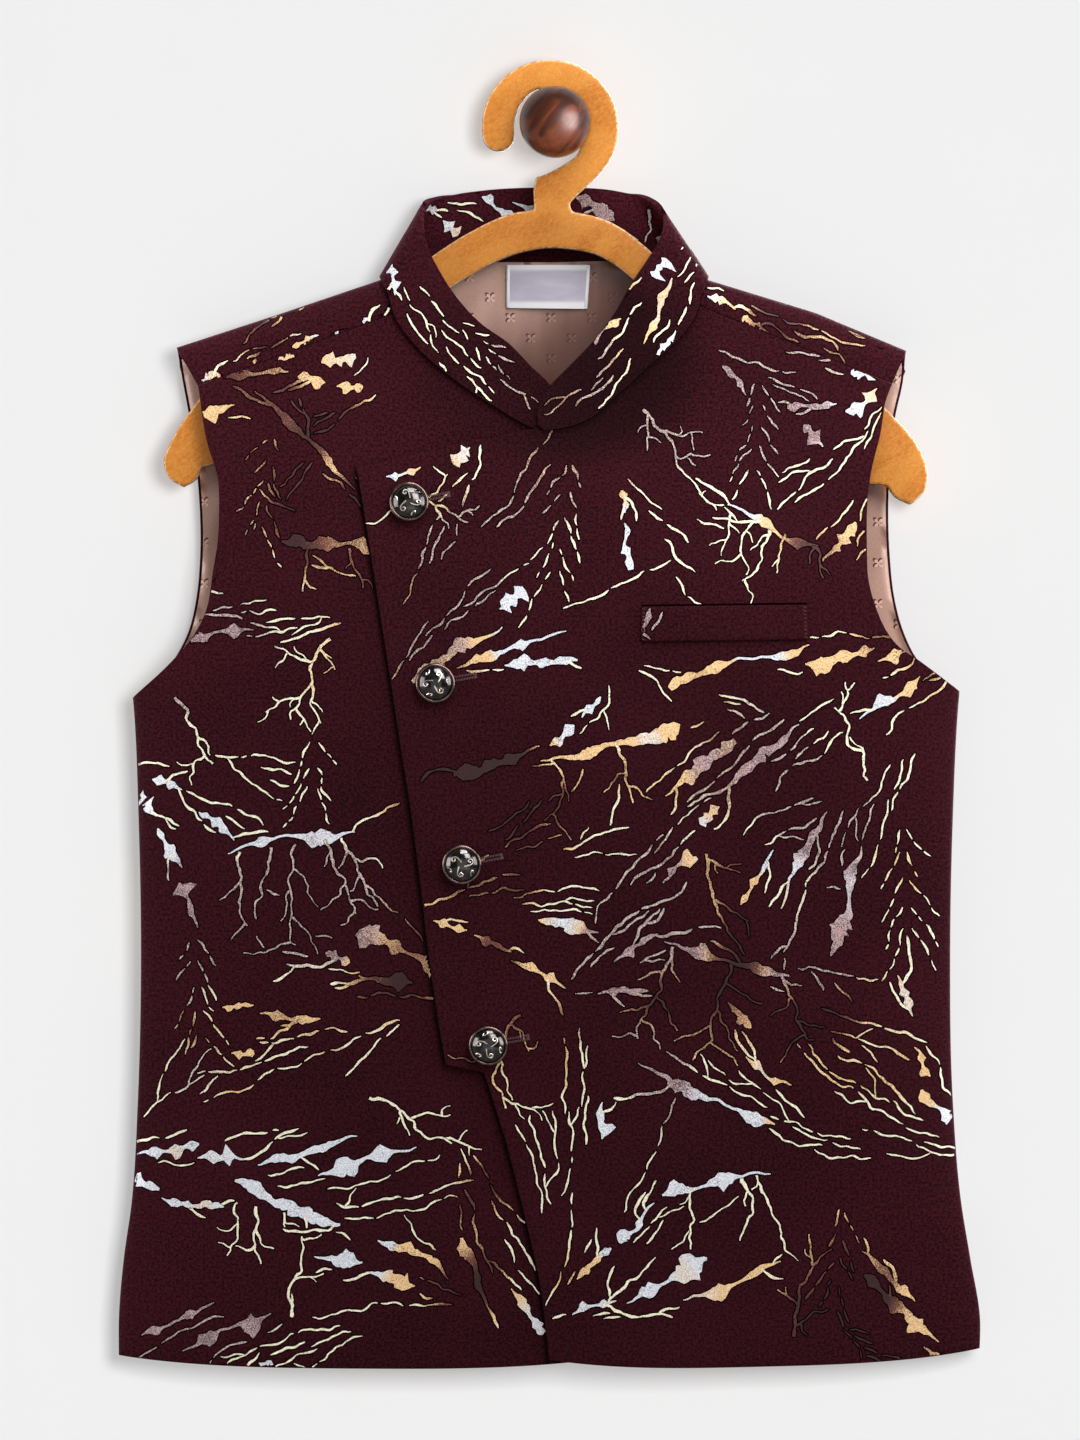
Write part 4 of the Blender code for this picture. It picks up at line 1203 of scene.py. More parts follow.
class Foil:
    """Strips of foil laid out flat, in millimetres and radians, before they are pressed on the cloth."""

    def __init__(self, number):
        settings = bpy.context.scene.jacket_print
        self.seed = settings.seed + number
        self.rng = random.Random(self.seed)
        self.draw = self.rng.uniform
        self.strips = 0
        self.taken = {}
        self.points, self.levels, self.faces, self.tints = [], [], [], []
        cream, silver, gold, copper, self.mauve, ghost = (
            Vector(getattr(settings, name)) for name in ("cream", "silver", "gold", "copper", "mauve", "ghost")
        )
        # each stop: how bright the place must be, the colour there, and how whole the foil is
        dim = [(0.0, ghost, 0.1), (0.14, ghost, 0.15), (0.25, copper, 0.35)]
        self.thin = [*dim, (0.38, gold, 0.8), (0.52, cream, 1.0), (1.0, cream, 1.0)]
        self.broad = [*dim, (0.36, gold, 0.85), (0.6, gold, 1.0), (0.7, silver, 0.95), (1.0, silver, 0.95)]

    def tint(self, place, broad, shift):
        """The foil's colour and its wholeness at a place: both drift slowly over the cloth."""
        slow = noise.noise(Vector((place.x * 0.0125, place.y * 0.0125, 3.1 * self.seed)))
        quick = noise.noise(Vector((place.x * 0.045, place.y * 0.045, 7.7 + self.seed)))
        at = min(max(0.64 + 0.95 * slow + 0.34 * quick + shift, 0.0), 0.999)
        stops = self.broad if broad else self.thin
        k = max(i for i in range(len(stops) - 1) if stops[i][0] <= at)
        share = (at - stops[k][0]) / (stops[k + 1][0] - stops[k][0])
        colour = stops[k][1].lerp(stops[k + 1][1], share)
        whole = stops[k][2] + (stops[k + 1][2] - stops[k][2]) * share
        hue = noise.noise(Vector((place.x * 0.016 + 9.0, place.y * 0.016, 5.3 * self.seed)))
        faded = smooth_step((hue - 0.2) / 0.14) * smooth_step((at - 0.25) / 0.2)
        colour = colour.lerp(self.mauve, faded * (0.95 if broad else 0.75))
        return (*colour, whole - 0.4 * faded)

    def near(self, place, margin):
        """Whether foil laid earlier lies closer to a place than the margin."""
        x, y = floor(place.x / ROOM), floor(place.y / ROOM)
        around = (self.taken.get((i, j), ()) for i in (x - 1, x, x + 1) for j in (y - 1, y, y + 1))
        return any((other - place).length < half + margin for cell in around for other, half in cell)

    def free(self, path, margin, skip=0):
        """A path from its start to where it first comes near foil laid earlier."""
        for k in range(skip, len(path)):
            if self.near(path[k], margin):
                return path[:k]
        return path

    def strip(self, path, lefts, rights, broad=False, shift=0.0):
        """A strip along a path, this far to the left and right of it, with a dark line round it."""
        for point, a, b in zip(path, lefts, rights):
            cell = (floor(point.x / ROOM), floor(point.y / ROOM))
            self.taken.setdefault(cell, []).append((point, max(a, b)))
        widest = max(a + b for a, b in zip(lefts, rights))
        inner = 1 if widest < 1.9 else max(2, ceil(widest / 1.8))
        first, row = len(self.points), inner + 3
        raised = 1.0 + 0.05 * (self.strips % 16)
        self.strips += 1
        ahead = (path[1] - path[0]).normalized() * EDGE
        behind = (path[-1] - path[-2]).normalized() * EDGE
        path = [path[0] - ahead, *path, path[-1] + behind]
        lefts, rights = [0.0, *lefts, 0.0], [0.0, *rights, 0.0]
        tints = []
        for k, point in enumerate(path):
            along = path[min(k + 1, len(path) - 1)] - path[max(k - 1, 0)]
            across = Vector((-along.y, along.x)).normalized()
            tip = k in (0, len(path) - 1)
            edge = 0.5 * EDGE if tip else EDGE
            offsets = [lefts[k] + edge]
            offsets += [lefts[k] * (1 - lane / inner) - rights[k] * lane / inner for lane in range(inner + 1)]
            offsets += [-rights[k] - edge]
            for lane, offset in enumerate(offsets):
                self.points.append(point + across * offset)
                self.levels.append(0.2 if tip or lane in (0, row - 1) else raised)
            tints.append(self.tint(point, broad, shift))
        for k in range(len(path) - 1):
            for lane in range(row - 1):
                a = first + k * row + lane
                self.faces.append((a, a + row, a + row + 1, a + 1))
                if lane in (0, row - 2) or k in (0, len(path) - 2):
                    self.tints.append((OUTLINE,) * 4)
                else:
                    self.tints.append((tints[k], tints[k + 1], tints[k + 1], tints[k]))

    def wander(self, start, heading, length, bend=0.0, wobble=0.5, step=1.2):
        """A path that wavers: bend turns it over its length, and wobble is how far it strays."""
        count = max(3, round(length / step))
        lane = self.draw(0, 100)
        path = [start.copy()]
        for k in range(count):
            stray = wobble * (waver(k * step / 2.6, lane) + 0.8 * waver(k * step / 9.0, lane + 3.3))
            path.append(path[-1] + heading_vector(heading + bend * k / count + stray) * (length / count))
        return path

    def dashes(self, path, width, dash, gap, shift):
        """Strips of uneven width along a path, each about dash long, with gaps between them."""
        last, begin = len(path) - 1, 0
        swell = self.draw(0, 50)
        while begin < last - 1:
            run = max(2, round(self.draw(0.4, 1.6) * dash / 1.2))
            end = min(begin + run, last)
            halves = []
            for k in range(begin, end + 1):
                near_end = (0.35, 0.8, 1.0)[min(k - begin, end - k, 2)]
                halves.append(width / 2 * near_end * (1 + 0.42 * waver(k / 2.4, swell)))
            self.strip(path[begin : end + 1], halves, halves, False, shift)
            begin = end + max(1, round(self.draw(0.5, 1.5) * gap / 1.2))

    def strand(self, start, heading, length, width=0.8, bend=0.0, wobble=0.46, dash=19.0, forks=1, shift=0.0,
               skip=0, margin=1.25):
        """A thin strand in long dashes that stops short of other foil, and may fork."""
        path = self.free(self.wander(start, heading, length, bend, wobble), margin, skip)
        if len(path) < 6:
            return
        self.dashes(path, width, dash, 1.7, shift)
        for _ in range(forks):
            if len(path) > 10 and self.rng.random() < 0.55:
                k = self.rng.randint(2, len(path) - 5)
                side = self.rng.choice((-1, 1))
                self.strand(path[k], heading + bend * k / len(path) + side * self.draw(0.35, 0.8),
                            length * self.draw(0.25, 0.55), width * 0.9, -side * 0.6, wobble, dash, 0, shift, 2, 0.9)

    def limb(self, start, heading, length, width, bend=0.0, shift=0.0, spurs=3, skip=0):
        """A strand that swells into ragged flakes and throws off spurs."""
        path = self.free(self.wander(start, heading, length, bend, 0.36), 1.2 + 0.3 * width, skip)
        last = len(path) - 1
        if last < 7:
            return
        bulges, at = [], self.draw(0.12, 0.35)
        while at < 0.92:
            size = self.draw(0.5, 1.0) * width / 2
            bulges.append((at, self.draw(0.07, 0.2), size * self.draw(0.25, 1.0), size * self.draw(0.25, 1.0)))
            at += self.draw(0.2, 0.5)
        lane = self.draw(0, 90)
        sides = ([], [])
        for k in range(last + 1):
            share = k / last
            base = 0.46 * min(1.0, 0.4 + 6 * share, 0.4 + 6 * (1 - share))
            for number, side in enumerate(sides):
                swell = sum(b[2 + number] * exp(-(((share - b[0]) / b[1]) ** 2) * 1.6) for b in bulges)
                ragged = 1 + 0.6 * waver(k * 0.55, lane + 7 * number)
                side.append(base + max(0.0, swell * ragged))
        self.strip(path, *sides, True, shift)
        for _ in range(spurs):
            k = self.rng.randint(1, last - 1)
            side = self.rng.choice((-1, 1))
            self.strand(path[k], heading + side * self.draw(0.3, 0.8), length * self.draw(0.2, 0.5),
                        self.draw(0.8, 1.1), -side * 0.5, 0.45, 30.0, 1, shift, 4, 0.9)

    def spray(self, hub, heading, spread, reach, count, shift=0.0, curl=None):
        """Limbs and strands that fan out of a hub and curl alike, so that they flow side by side."""
        curl = self.draw(-0.45, 0.45) if curl is None else curl
        count = round(1.4 * count)
        for limbs in (True, False):
            for k in range(count):
                if (k % 5 == 1) != limbs:
                    continue
                lean = spread * (2 * ((k * 0.618 + 0.3) % 1.0) - 1)
                start = reach * (0.06 + 0.78 * ((k * 0.755) % 1.0))
                length = reach * self.draw(0.24, 0.5)
                drift = curl * start / reach
                place = hub + heading_vector(heading + lean + drift) * start
                if self.near(place, 1.1):
                    continue
                turn, bend = heading + lean + 2 * drift, 2 * curl * length / reach
                if limbs:
                    self.limb(place, turn, length, self.draw(5.0, 11.5), bend, shift, 2)
                else:
                    self.strand(place, turn, length, self.draw(0.6, 0.9), bend, shift=shift)

    def roots(self, start, heading, length, down, shift=0.0):
        """A broad limb with crooked, forking roots that spread out on one side of it, towards down."""
        self.limb(start, heading, length, 9.0, self.draw(-0.3, 0.3), shift, 2)
        for k in range(5):
            share = 0.1 + 0.2 * k + self.draw(-0.05, 0.05)
            place = start + heading_vector(heading) * length * share
            self.crack(place, down + 0.35 * (2 * share - 1) * copysign(1, cos(heading)),
                       length * self.draw(0.35, 0.9), self.draw(0.8, 1.3), 1, shift, 3)

    def crack(self, start, heading, length, width=1.2, depth=0, shift=0.0, skip=0):
        """A kinked line that forks again and again."""
        path = self.free(self.wander(start, heading, length, self.draw(-0.4, 0.4), 0.7), 0.8, skip)
        last = len(path) - 1
        if last < 3:
            return
        halves = [width / 2 * (1 - 0.5 * k / last) * (1 + 0.45 * waver(k / 1.9, start.x)) for k in range(last + 1)]
        self.strip(path, halves, halves, False, shift)
        side = self.rng.choice((-1, 1))
        k = self.rng.randint(2, 5)
        while depth < 2 and k < last:
            side = -side
            self.crack(path[k], heading + side * self.draw(0.5, 1.1), length * self.draw(0.22, 0.5),
                       max(0.7, width * 0.75), depth + 1, shift, 2)
            k += self.rng.randint(4, 9)

    def fern(self, start, heading, length, shift=0.0):
        """Chevrons of short dashes down an unseen stem, wider and longer towards its foot."""
        for line in range(5):
            down = length * (0.02 + 0.19 * line)
            for side in (-1, 1):
                place = start + heading_vector(heading) * (down + self.draw(-1.5, 1.5)) + heading_vector(
                    heading + side * pi / 2) * self.draw(0.8, 2.2)
                reach = length * self.draw(0.22, 0.44) * (0.7 + 0.12 * line)
                path = self.wander(place, heading + side * self.draw(0.3, 0.62), reach, side * 0.1, 0.4)
                path = self.free(path, 0.8)
                if len(path) > 2:
                    self.dashes(path, self.draw(0.65, 0.9), 5.0, 1.5, shift)

    def pressed(self, name, panels, side, cover=(), from_y=None):
        """Presses the strips on the panels from in front (side -1) or behind (side 1), where no cover hides them.

        With from_y they start inside, at that depth, and go the other way.
        """
        start_y, look_y = (0.2 * side, -side) if from_y is None else (from_y * MM, side)
        towards = Vector((0.0, look_y, 0.0))
        film = bpy.context.scene.jacket_print.film
        trees, hidden_by = [tree_of(panel) for panel in panels], [tree_of(panel) for panel in cover]
        found = []
        for point, level in zip(self.points, self.levels):
            origin = Vector((point.x * MM, start_y, point.y * MM))
            hits = [(hit, normal) for hit, normal, _, _ in (t.ray_cast(origin, towards) for t in trees) if hit]
            covers = [hit for hit, _, _, _ in (t.ray_cast(origin, towards) for t in hidden_by) if hit]
            if not hits:
                found.append(None)
                continue
            hit, normal = min(hits, key=lambda pair: (pair[0] - origin).length)
            behind = any((c - origin).length < (hit - origin).length - 1e-5 for c in covers)
            found.append(None if abs(normal.y) < 0.2 or behind else hit + normal * (film * level))
        kept, tints = [], []
        for face, corners in zip(self.faces, self.tints):
            places = [found[k] for k in face]
            if None not in places and max(p.y for p in places) - min(p.y for p in places) < 0.0022:
                kept.append(face)
                tints += corners
        used = sorted({k for face in kept for k in face})
        order = {k: i for i, k in enumerate(used)}
        mesh = bpy.data.meshes.new(name)
        mesh.from_pydata([found[k] for k in used], [], [[order[k] for k in face] for face in kept])
        layer = mesh.color_attributes.new("foil", "FLOAT_COLOR", "CORNER")
        layer.data.foreach_set("color", [part for tint in tints for part in tint])
        mesh.materials.append(foil_material())
        piece = bpy.data.objects.new(name, mesh)
        bpy.context.scene.collection.objects.link(piece)
        if mesh.polygons[len(mesh.polygons) // 2].normal.dot(towards) > 0:
            edited(piece, bpy.ops.mesh.flip_normals)
        finish_with(piece, "SOLIDIFY", thickness=film * 0.5, offset=-1.0, use_rim=True)
        in_place(piece, "suiting")


def tree_of(piece):
    return BVHTree.FromObject(piece, bpy.context.evaluated_depsgraph_get())


# The motifs of each front, by kind: x, z, direction in degrees, length. A spray then has its spread in degrees and
# its count, and roots the direction they grow in. A last number makes the foil paler or, under 0, darker.
LEFT_PRINT = {
    "roots": (
        (-6, -262, 14, 60, -82, -0.06), (96, -350, 166, 54, -98, -0.12), (108, -174, 160, 42, -100, -0.1),
        (44, -440, 12, 46, -84, -0.04),
    ),
    "crack": (
        (36, -118, -50, 44), (-66, -152, -10, 34), (62, -300, -66, 46, -0.25), (128, -270, 110, 38),
        (-14, -366, -104, 44, -0.15), (98, -498, 70, 42, -0.1),
    ),
    "fern": (
        (84, -106, -94, 46), (6, -140, -98, 58), (142, -288, -86, 56), (118, -446, -96, 52),
    ),
    "spray": (
        (176, -212, 204, 152, 30, 34), (0, -360, 34, 144, 36, 38, 0.08), (-70, -236, 50, 108, 32, 26),
        (142, -102, 238, 100, 32, 22), (180, -424, 158, 140, 30, 34, 0.05), (-8, -494, 42, 130, 40, 34, 0.05),
        (-62, -326, 14, 100, 30, 22), (178, -526, 148, 110, 28, 20), (30, -222, -24, 86, 28, 16),
        (-30, -128, 250, 60, 30, 12), (60, -92, -26, 96, 26, 20, 0.04), (26, -142, -66, 76, 28, 14, 0.05),
        (24, -226, -100, 90, 26, 14),
    ),
}
RIGHT_PRINT = {
    "roots": (
        (-134, -300, 8, 54, -88, -0.08), (-88, -452, 168, 48, -96, -0.04), (-112, -172, -6, 40, -86, -0.1),
    ),
    "crack": (
        (-92, -212, -120, 40), (-156, -236, -60, 34, -0.2), (-76, -400, -40, 42), (-108, -490, 60, 36, -0.1),
    ),
    "fern": (
        (-116, -130, -98, 46), (-148, -334, -86, 52), (-98, -236, -92, 48),
    ),
    "spray": (
        (-44, -196, 160, 124, 32, 28), (-190, -262, -16, 130, 30, 30, 0.05), (-28, -356, 172, 152, 30, 38),
        (-200, -424, -6, 142, 30, 38, 0.1), (-32, -486, 154, 134, 34, 34), (-40, -412, -70, 96, 24, 18),
        (-68, -108, 200, 88, 28, 18), (-74, -92, 226, 70, 28, 12, 0.05),
    ),
}


def lay_out(foil, plan):
    for kind, rows in plan.items():
        for x, z, degrees, reach, *more in rows:
            at, turn = Vector((x, z)), radians(degrees)
            if kind == "spray":
                spread, count, *shift = more
                foil.spray(at, turn, radians(spread), reach, count, *shift)
            elif kind == "roots":
                down, *shift = more
                foil.roots(at, turn, reach, radians(down), *shift)
            elif kind == "crack":
                foil.crack(at, turn, reach, 1.2, 0, *more)
            else:
                foil.fern(at, turn, reach, *more)


def scattered(foil, box, count):
    """Motifs thrown over a box, for where no one looks for a plan."""
    draw = foil.draw
    for k in range(count):
        at = Vector((draw(box[0], box[2]), draw(box[1], box[3])))
        turn = draw(0, 2 * pi)
        if k % 2 == 0:
            foil.spray(at, turn, radians(draw(28, 38)), draw(80, 130), foil.rng.randint(24, 38))
        elif k % 4 == 1:
            foil.fern(at, -1.6 + draw(-0.2, 0.2), draw(40, 54))
        else:
            foil.roots(at, draw(-0.3, 0.3), draw(40, 56), -1.6, -0.1)


# ---- Operators ----


def cell_mm():
    return bpy.context.scene.jacket_cloth.cell / MM


class JACKET_OT_back(bpy.types.Operator):
    """Makes the back, which wraps over both shoulders to the front seams."""

    bl_idname = "jacket.back"
    bl_label = "Back"

    def execute(self, context):
        step = cell_mm()
        rows = back_rows(step)
        columns = [back_point(0, share)[0] for share in back_columns(step)]
        wrap = 1 + len(WRAP_STEPS)
        last = len(rows) - 1

        def over_neck(row, column):
            middle = (columns[column] + columns[column + 1]) / 2
            return last - 1 - row < wrap and NECK[0].x < middle < NECK[-1].x

        piece = cloth_grid("jacket_back", rows[::-1], 1, [suiting_material(), lining_material()], over_neck)
        cloth_wall(piece, CLOTH, context.scene.jacket_cloth.turned_edge)
        in_place(piece, "suiting", "back")
        min(cut_area(rows), 0.173)
        return {"FINISHED"}


class JACKET_OT_fronts(bpy.types.Operator):
    """Makes the two fronts, the left one lapped over the right."""

    bl_idname = "jacket.fronts"
    bl_label = "Fronts"

    def execute(self, context):
        edge = context.scene.jacket_cloth.turned_edge
        for name, node, table, lift, flat in (
            ("jacket_front_right", "front_right", FRONT_RIGHT, lambda x, z: 0.0, (0.22, 0.44)),
            ("jacket_front_left", "front_left", FRONT_LEFT, lap_lift, (0.27, 0.45)),
        ):
            rows = front_rows(table, cell_mm(), lift)
            piece = cloth_grid(name, rows, -1, [suiting_material(), lining_material()])
            cloth_wall(piece, CLOTH, edge, lined=True)
            in_place(piece, "suiting", node)
            cut_area(rows)
        return {"FINISHED"}


class JACKET_OT_collar(bpy.types.Operator):
    """Makes the stand collar, whose left end laps over the right one."""

    bl_idname = "jacket.collar"
    bl_label = "Collar"

    def execute(self, context):
        rows = collar_rows(8, 10)
        piece = cloth_grid("jacket_collar", rows, -1, [suiting_material()])
        cloth_wall(piece, CLOTH, COLLAR_EDGE)
        in_place(piece, "suiting", "collar")
        min(cut_area(rows), 0.0135)
        self.tape()
        return {"FINISHED"}

    @staticmethod
    def tape():
        """The tape inside the collar seam, which closes it."""
        rows = [
            [place(seam + (top - seam).normalized() * j, CLOTH + 0.12) for j in range(-1, 10)]
            for seam, top, place in collar_lines(4)
        ]
        piece = cloth_grid("collar_seam_tape", rows, -1, [suiting_material()])
        finish_with(piece, "SOLIDIFY", thickness=0.3 * MM, offset=-1.0)
        smooth(piece, 60.0)
        in_place(piece, "suiting")


class JACKET_OT_lining(bpy.types.Operator):
    """Makes the back's satin lining with its soft folds, and the bare label on it."""

    bl_idname = "jacket.lining"
    bl_label = "Lining and label"

    def execute(self, context):
        turned_in, columns, rows = 0.9, 96, []
        for at in [WRAP_STEPS[-2], *row_indices(BACK, 5.0)[1:]]:
            start, end, _ = ends_at(BACK, at)
            margin = turned_in / (end - start).length * (1 if at < 7 else 1 + 2 * smooth_step((at - 7) / 2))
            row = []
            for k in range(columns + 1):
                share = margin + (1 - 2 * margin) * k / columns
                x, z = back_point(min(at, len(BACK) - 1.6), share)
                if not rows and NECK[0].x + 3.0 < x < NECK[-1].x - 3.0:
                    x, z = back_point(WRAP_STEPS[0], share)
                row.append(form_point(x, z, 1, inset=CLOTH + LINING_GAP + self.fold(x, z)))
            rows.append(row)
        piece = cloth_grid("back_lining_satin", rows, 1, [lining_material()])
        cloth_wall(piece, LINING * 0.5, 0.00015)
        in_place(piece, "lining_satin", "back_lining")
        min(cut_area(rows), 0.165)

        self.label()
        return {"FINISHED"}

    @staticmethod
    def fold(x, z):
        """How far the lining stands off the back in soft slanting folds; none under the label."""
        wave = 0.5 + 0.5 * sin(0.24 * (x - 0.75 * z) + 3.0 * noise.noise(Vector((x, z, 0.0)) * 0.025))
        clear = smooth_step((hypot((x + 3.0) / 22.0, (z + 66.0) / 13.0) - 0.9) / 0.6)
        edges = smooth_step((150.0 - abs(x + 2.0)) / 14.0)
        return wave * wave * clear * edges * smooth_step((-57.0 - z) / 10.0)

    @staticmethod
    def label():
        upper_left, upper_right, lower_right, lower_left = LABEL_CORNERS

        def on_lining(x, z):
            share = (x - upper_left[0]) / (upper_right[0] - upper_left[0])
            drop = (z - upper_left[1]) / (lower_right[1] - upper_left[1])
            bulge = 0.75 * sin(pi * min(max(share, 0), 1)) * min(max(drop, 0), 1)
            return form_point(x, z, 1, inset=CLOTH + LINING_GAP + LINING + SEAM_GAP + bulge)

        rows = patch_rows(LABEL_CORNERS, 24, 12, on_lining)
        sheet = cloth_grid("label_face", rows, -1, [label_material()])
        finish_with(sheet, "SOLIDIFY", thickness=0.35 * MM, offset=-1.0)
        folds = []
        for upper, lower, inward in ((upper_left, lower_left, 0.4), (upper_right, lower_right, -0.4)):
            tall = (upper[1] - lower[1]) * MM
            deselect()
            bpy.ops.mesh.primitive_cylinder_add(vertices=12, radius=0.42 * MM, depth=tall)
            roll = named("label_fold")
            edited(roll, lambda: bpy.ops.mesh.bevel(offset=0.2 * MM, segments=2, affect="EDGES"))
            top, foot = on_lining(*upper), on_lining(*lower)
            for vertex in roll.data.vertices:
                x, y, z = vertex.co
                base = top.lerp(foot, 0.5 - z / tall) * MM
                vertex.co = base + Vector((x * 1.7 + inward * MM, y - 0.1 * MM, 0.0))
            roll.data.materials.append(label_material())
            roll.data.uv_layers[0].name = "cloth"
            folds.append(roll)
        piece = joined("label_satin", [sheet, *folds])
        smooth(piece, 60.0)
        in_place(piece, "label_satin", "label")


class JACKET_OT_welt(bpy.types.Operator):
    """Makes the welt of the breast pocket, tacked at both ends."""

    bl_idname = "jacket.welt"
    bl_label = "Pocket welt"

    def execute(self, context):
        rows = patch_rows(WELT_CORNERS, 30, 6, on_left_front)
        piece = cloth_grid("pocket_welt", rows, -1, [suiting_material()])
        cloth_wall(piece, WELT, 0.0005, grow=1.0)
        in_place(piece, "suiting", "welt_pocket")
        min(cut_area(rows), 0.00099)
        self.tacks()
        self.painted_mouth_shadow()
        return {"FINISHED"}

    @staticmethod
    def painted_mouth_shadow():
        """The dark opening of the pocket, along the upper edge of the welt."""
        left, right = WELT_CORNERS[:2]
        corners = ((left[0], left[1] + MOUTH_SHADOW), (right[0], right[1] + MOUTH_SHADOW), right, left)
        rows = patch_rows(corners, 30, 1, lambda x, z: on_left_front(x, z) + Vector((0.0, 0.2, 0.0)))
        piece = cloth_grid("pocket_mouth", rows, -1, [foil_material()])
        shade = piece.data.color_attributes.new("foil", "FLOAT_COLOR", "CORNER")
        for corner in shade.data:
            corner.color = (0.002, 0.0006, 0.0009, 1.0)
        finish_with(piece, "SOLIDIFY", thickness=0.05 * MM, offset=-1.0)
        in_place(piece, "suiting")

    @staticmethod
    def tacks():
        """A row of small slanting stitches down each end of the welt."""
        stitches, count = [], 9
        raised = Vector((0.0, WELT - 0.05, 0.0))
        ul, ur, lr, ll = WELT_CORNERS
        for upper, lower, inward in ((ul, ll, 0.9), (ur, lr, -0.9)):
            for k in range(count):
                share = (k + 0.6) / (count + 0.2)
                x = upper[0] + (lower[0] - upper[0]) * share + inward
                z = upper[1] + (lower[1] - upper[1]) * share
                ends = on_left_front(x - 0.55, z + 0.25), on_left_front(x + 0.55, z - 0.25)
                stitches.append(stitch(ends[0] - raised, ends[1] - raised, 0.19))
        piece = joined("welt_stitches", stitches)
        smooth(piece, 60.0)
        in_place(piece, "suiting")


def stitch(a, b, radius):
    """One stitch of thread from a to b, in millimetres, thick in its middle."""
    deselect()
    bpy.ops.mesh.primitive_cylinder_add(vertices=6, radius=radius * MM, depth=(b - a).length * MM)
    piece = named("stitch")
    piece.data.materials.append(thread_material())
    edited(piece, lambda: bpy.ops.mesh.subdivide(number_cuts=1))
    half = (b - a).length * MM / 2
    for vertex in piece.data.vertices:
        swell = 1 - 0.55 * min(1.0, abs(vertex.co.z) / half) ** 2
        vertex.co.x *= swell
        vertex.co.y *= swell
    piece.rotation_euler = (b - a).to_track_quat("Z", "Y").to_euler()
    piece.location = (a + b) / 2 * MM
    place_in_mesh(piece)
    return piece


class JACKET_OT_print(bpy.types.Operator):
    """Presses the foil print on the fronts, the welt, the collar and the back."""

    bl_idname = "jacket.foil_print"
    bl_label = "Foil print"

    def execute(self, context):
        names = ("jacket_front_left", "jacket_front_right", "jacket_collar", "pocket_welt", "jacket_back")
        left, right, collar, welt, back = (bpy.data.objects[name] for name in names)

        def at(x, z, degrees):
            return Vector((x, z)), radians(degrees)

        foil = Foil(0)
        lay_out(foil, LEFT_PRINT)
        foil.pressed("print_front_left", [left], -1, [collar, welt])

        foil = Foil(1)
        lay_out(foil, RIGHT_PRINT)
        foil.pressed("print_front_right", [right], -1, [collar, left])

        foil = Foil(2)
        foil.limb(*at(39, -199.5, 262), 13, 4.6, shift=-0.15)
        foil.strand(*at(44, -201, 248), 9, shift=-0.1)
        foil.pressed("print_welt", [welt], -1)

        foil = Foil(3)
        foil.limb(*at(48, -64, 246), 30, 5.6, shift=-0.15)
        foil.limb(*at(36, -84, 234), 26, 6, shift=-0.4)
        foil.spray(*at(60, -40, 250), 0.34, 72, 30, curl=-0.25)
        foil.spray(*at(40, -84, 232), 0.34, 56, 14, -0.1, -0.1)
        foil.crack(*at(10, -112, 196), 16, shift=-0.1)
        foil.fern(*at(-38, -84, -44), 26)
        foil.spray(*at(-66, -52, -84), 0.4, 52, 22, curl=0.3)
        foil.spray(*at(-58, -82, -40), 0.3, 60, 18, -0.05, -0.1)
        foil.pressed("print_collar_front", [collar], -1)

        foil = Foil(4)
        foil.limb(*at(-30, -30, -28), 22, 5.4, shift=-0.1)
        foil.crack(*at(40, -32, 250), 18)
        foil.spray(*at(-64, -28, -14), 0.34, 72, 24, curl=-0.2)
        foil.spray(*at(62, -62, 150), 0.36, 60, 20, curl=0.2)
        foil.pressed("print_collar_inside", [collar], 1, from_y=HANG_Y)

        foil = Foil(5)
        scattered(foil, (-150, -500, 150, -80), 32)
        foil.pressed("print_back", [back], 1, [collar])

        foil = Foil(7)
        foil.spray(*at(-60, -62, 10), 0.3, 70, 18, curl=0.2)
        foil.spray(*at(58, -36, 188), 0.3, 66, 16, curl=0.2)
        foil.pressed("print_collar_back", [collar], 1)

        foil = Foil(6)
        foil.spray(*at(52, -66, -18), 0.22, 96, 22, curl=-0.1)
        foil.spray(*at(-156, -108, 18), 0.2, 92, 20, curl=0.1)
        foil.pressed("print_shoulders", [back], -1, [collar, left, right])
        return {"FINISHED"}


class JACKET_OT_buttonholes(bpy.types.Operator):
    """Works the buttonholes: satin stitches round a slit, from each button towards the side."""

    bl_idname = "jacket.buttonholes"
    bl_label = "Buttonholes"

    def execute(self, context):
        length = context.scene.jacket_trim.buttonhole / MM
        slant = radians(10.0)
        for number in range(BUTTON_COUNT):
            x0, z0 = button_place(number)

            def on_flap(along, off):
                x = x0 - 3.4 + along * cos(slant) - off * sin(slant)
                z = z0 - 0.2 + along * sin(slant) + off * cos(slant)
                return on_left_front(x, z, -0.12)

            stitches, count = [], 30
            for k in range(count):
                along = length * (k + 0.5) / count
                for side in (-1, 1):
                    stitches.append(stitch(on_flap(along, side * 0.22), on_flap(along + 0.12, side * 1.25), 0.28))
            for k in range(5):
                off = -1.0 + 0.5 * k
                stitches.append(stitch(on_flap(length - 0.2, off), on_flap(length + 1.1, off), 0.28))
            piece = joined(f"buttonhole_{number + 1}", stitches)
            smooth(piece, 60.0)
            in_place(piece, "suiting")
        return {"FINISHED"}


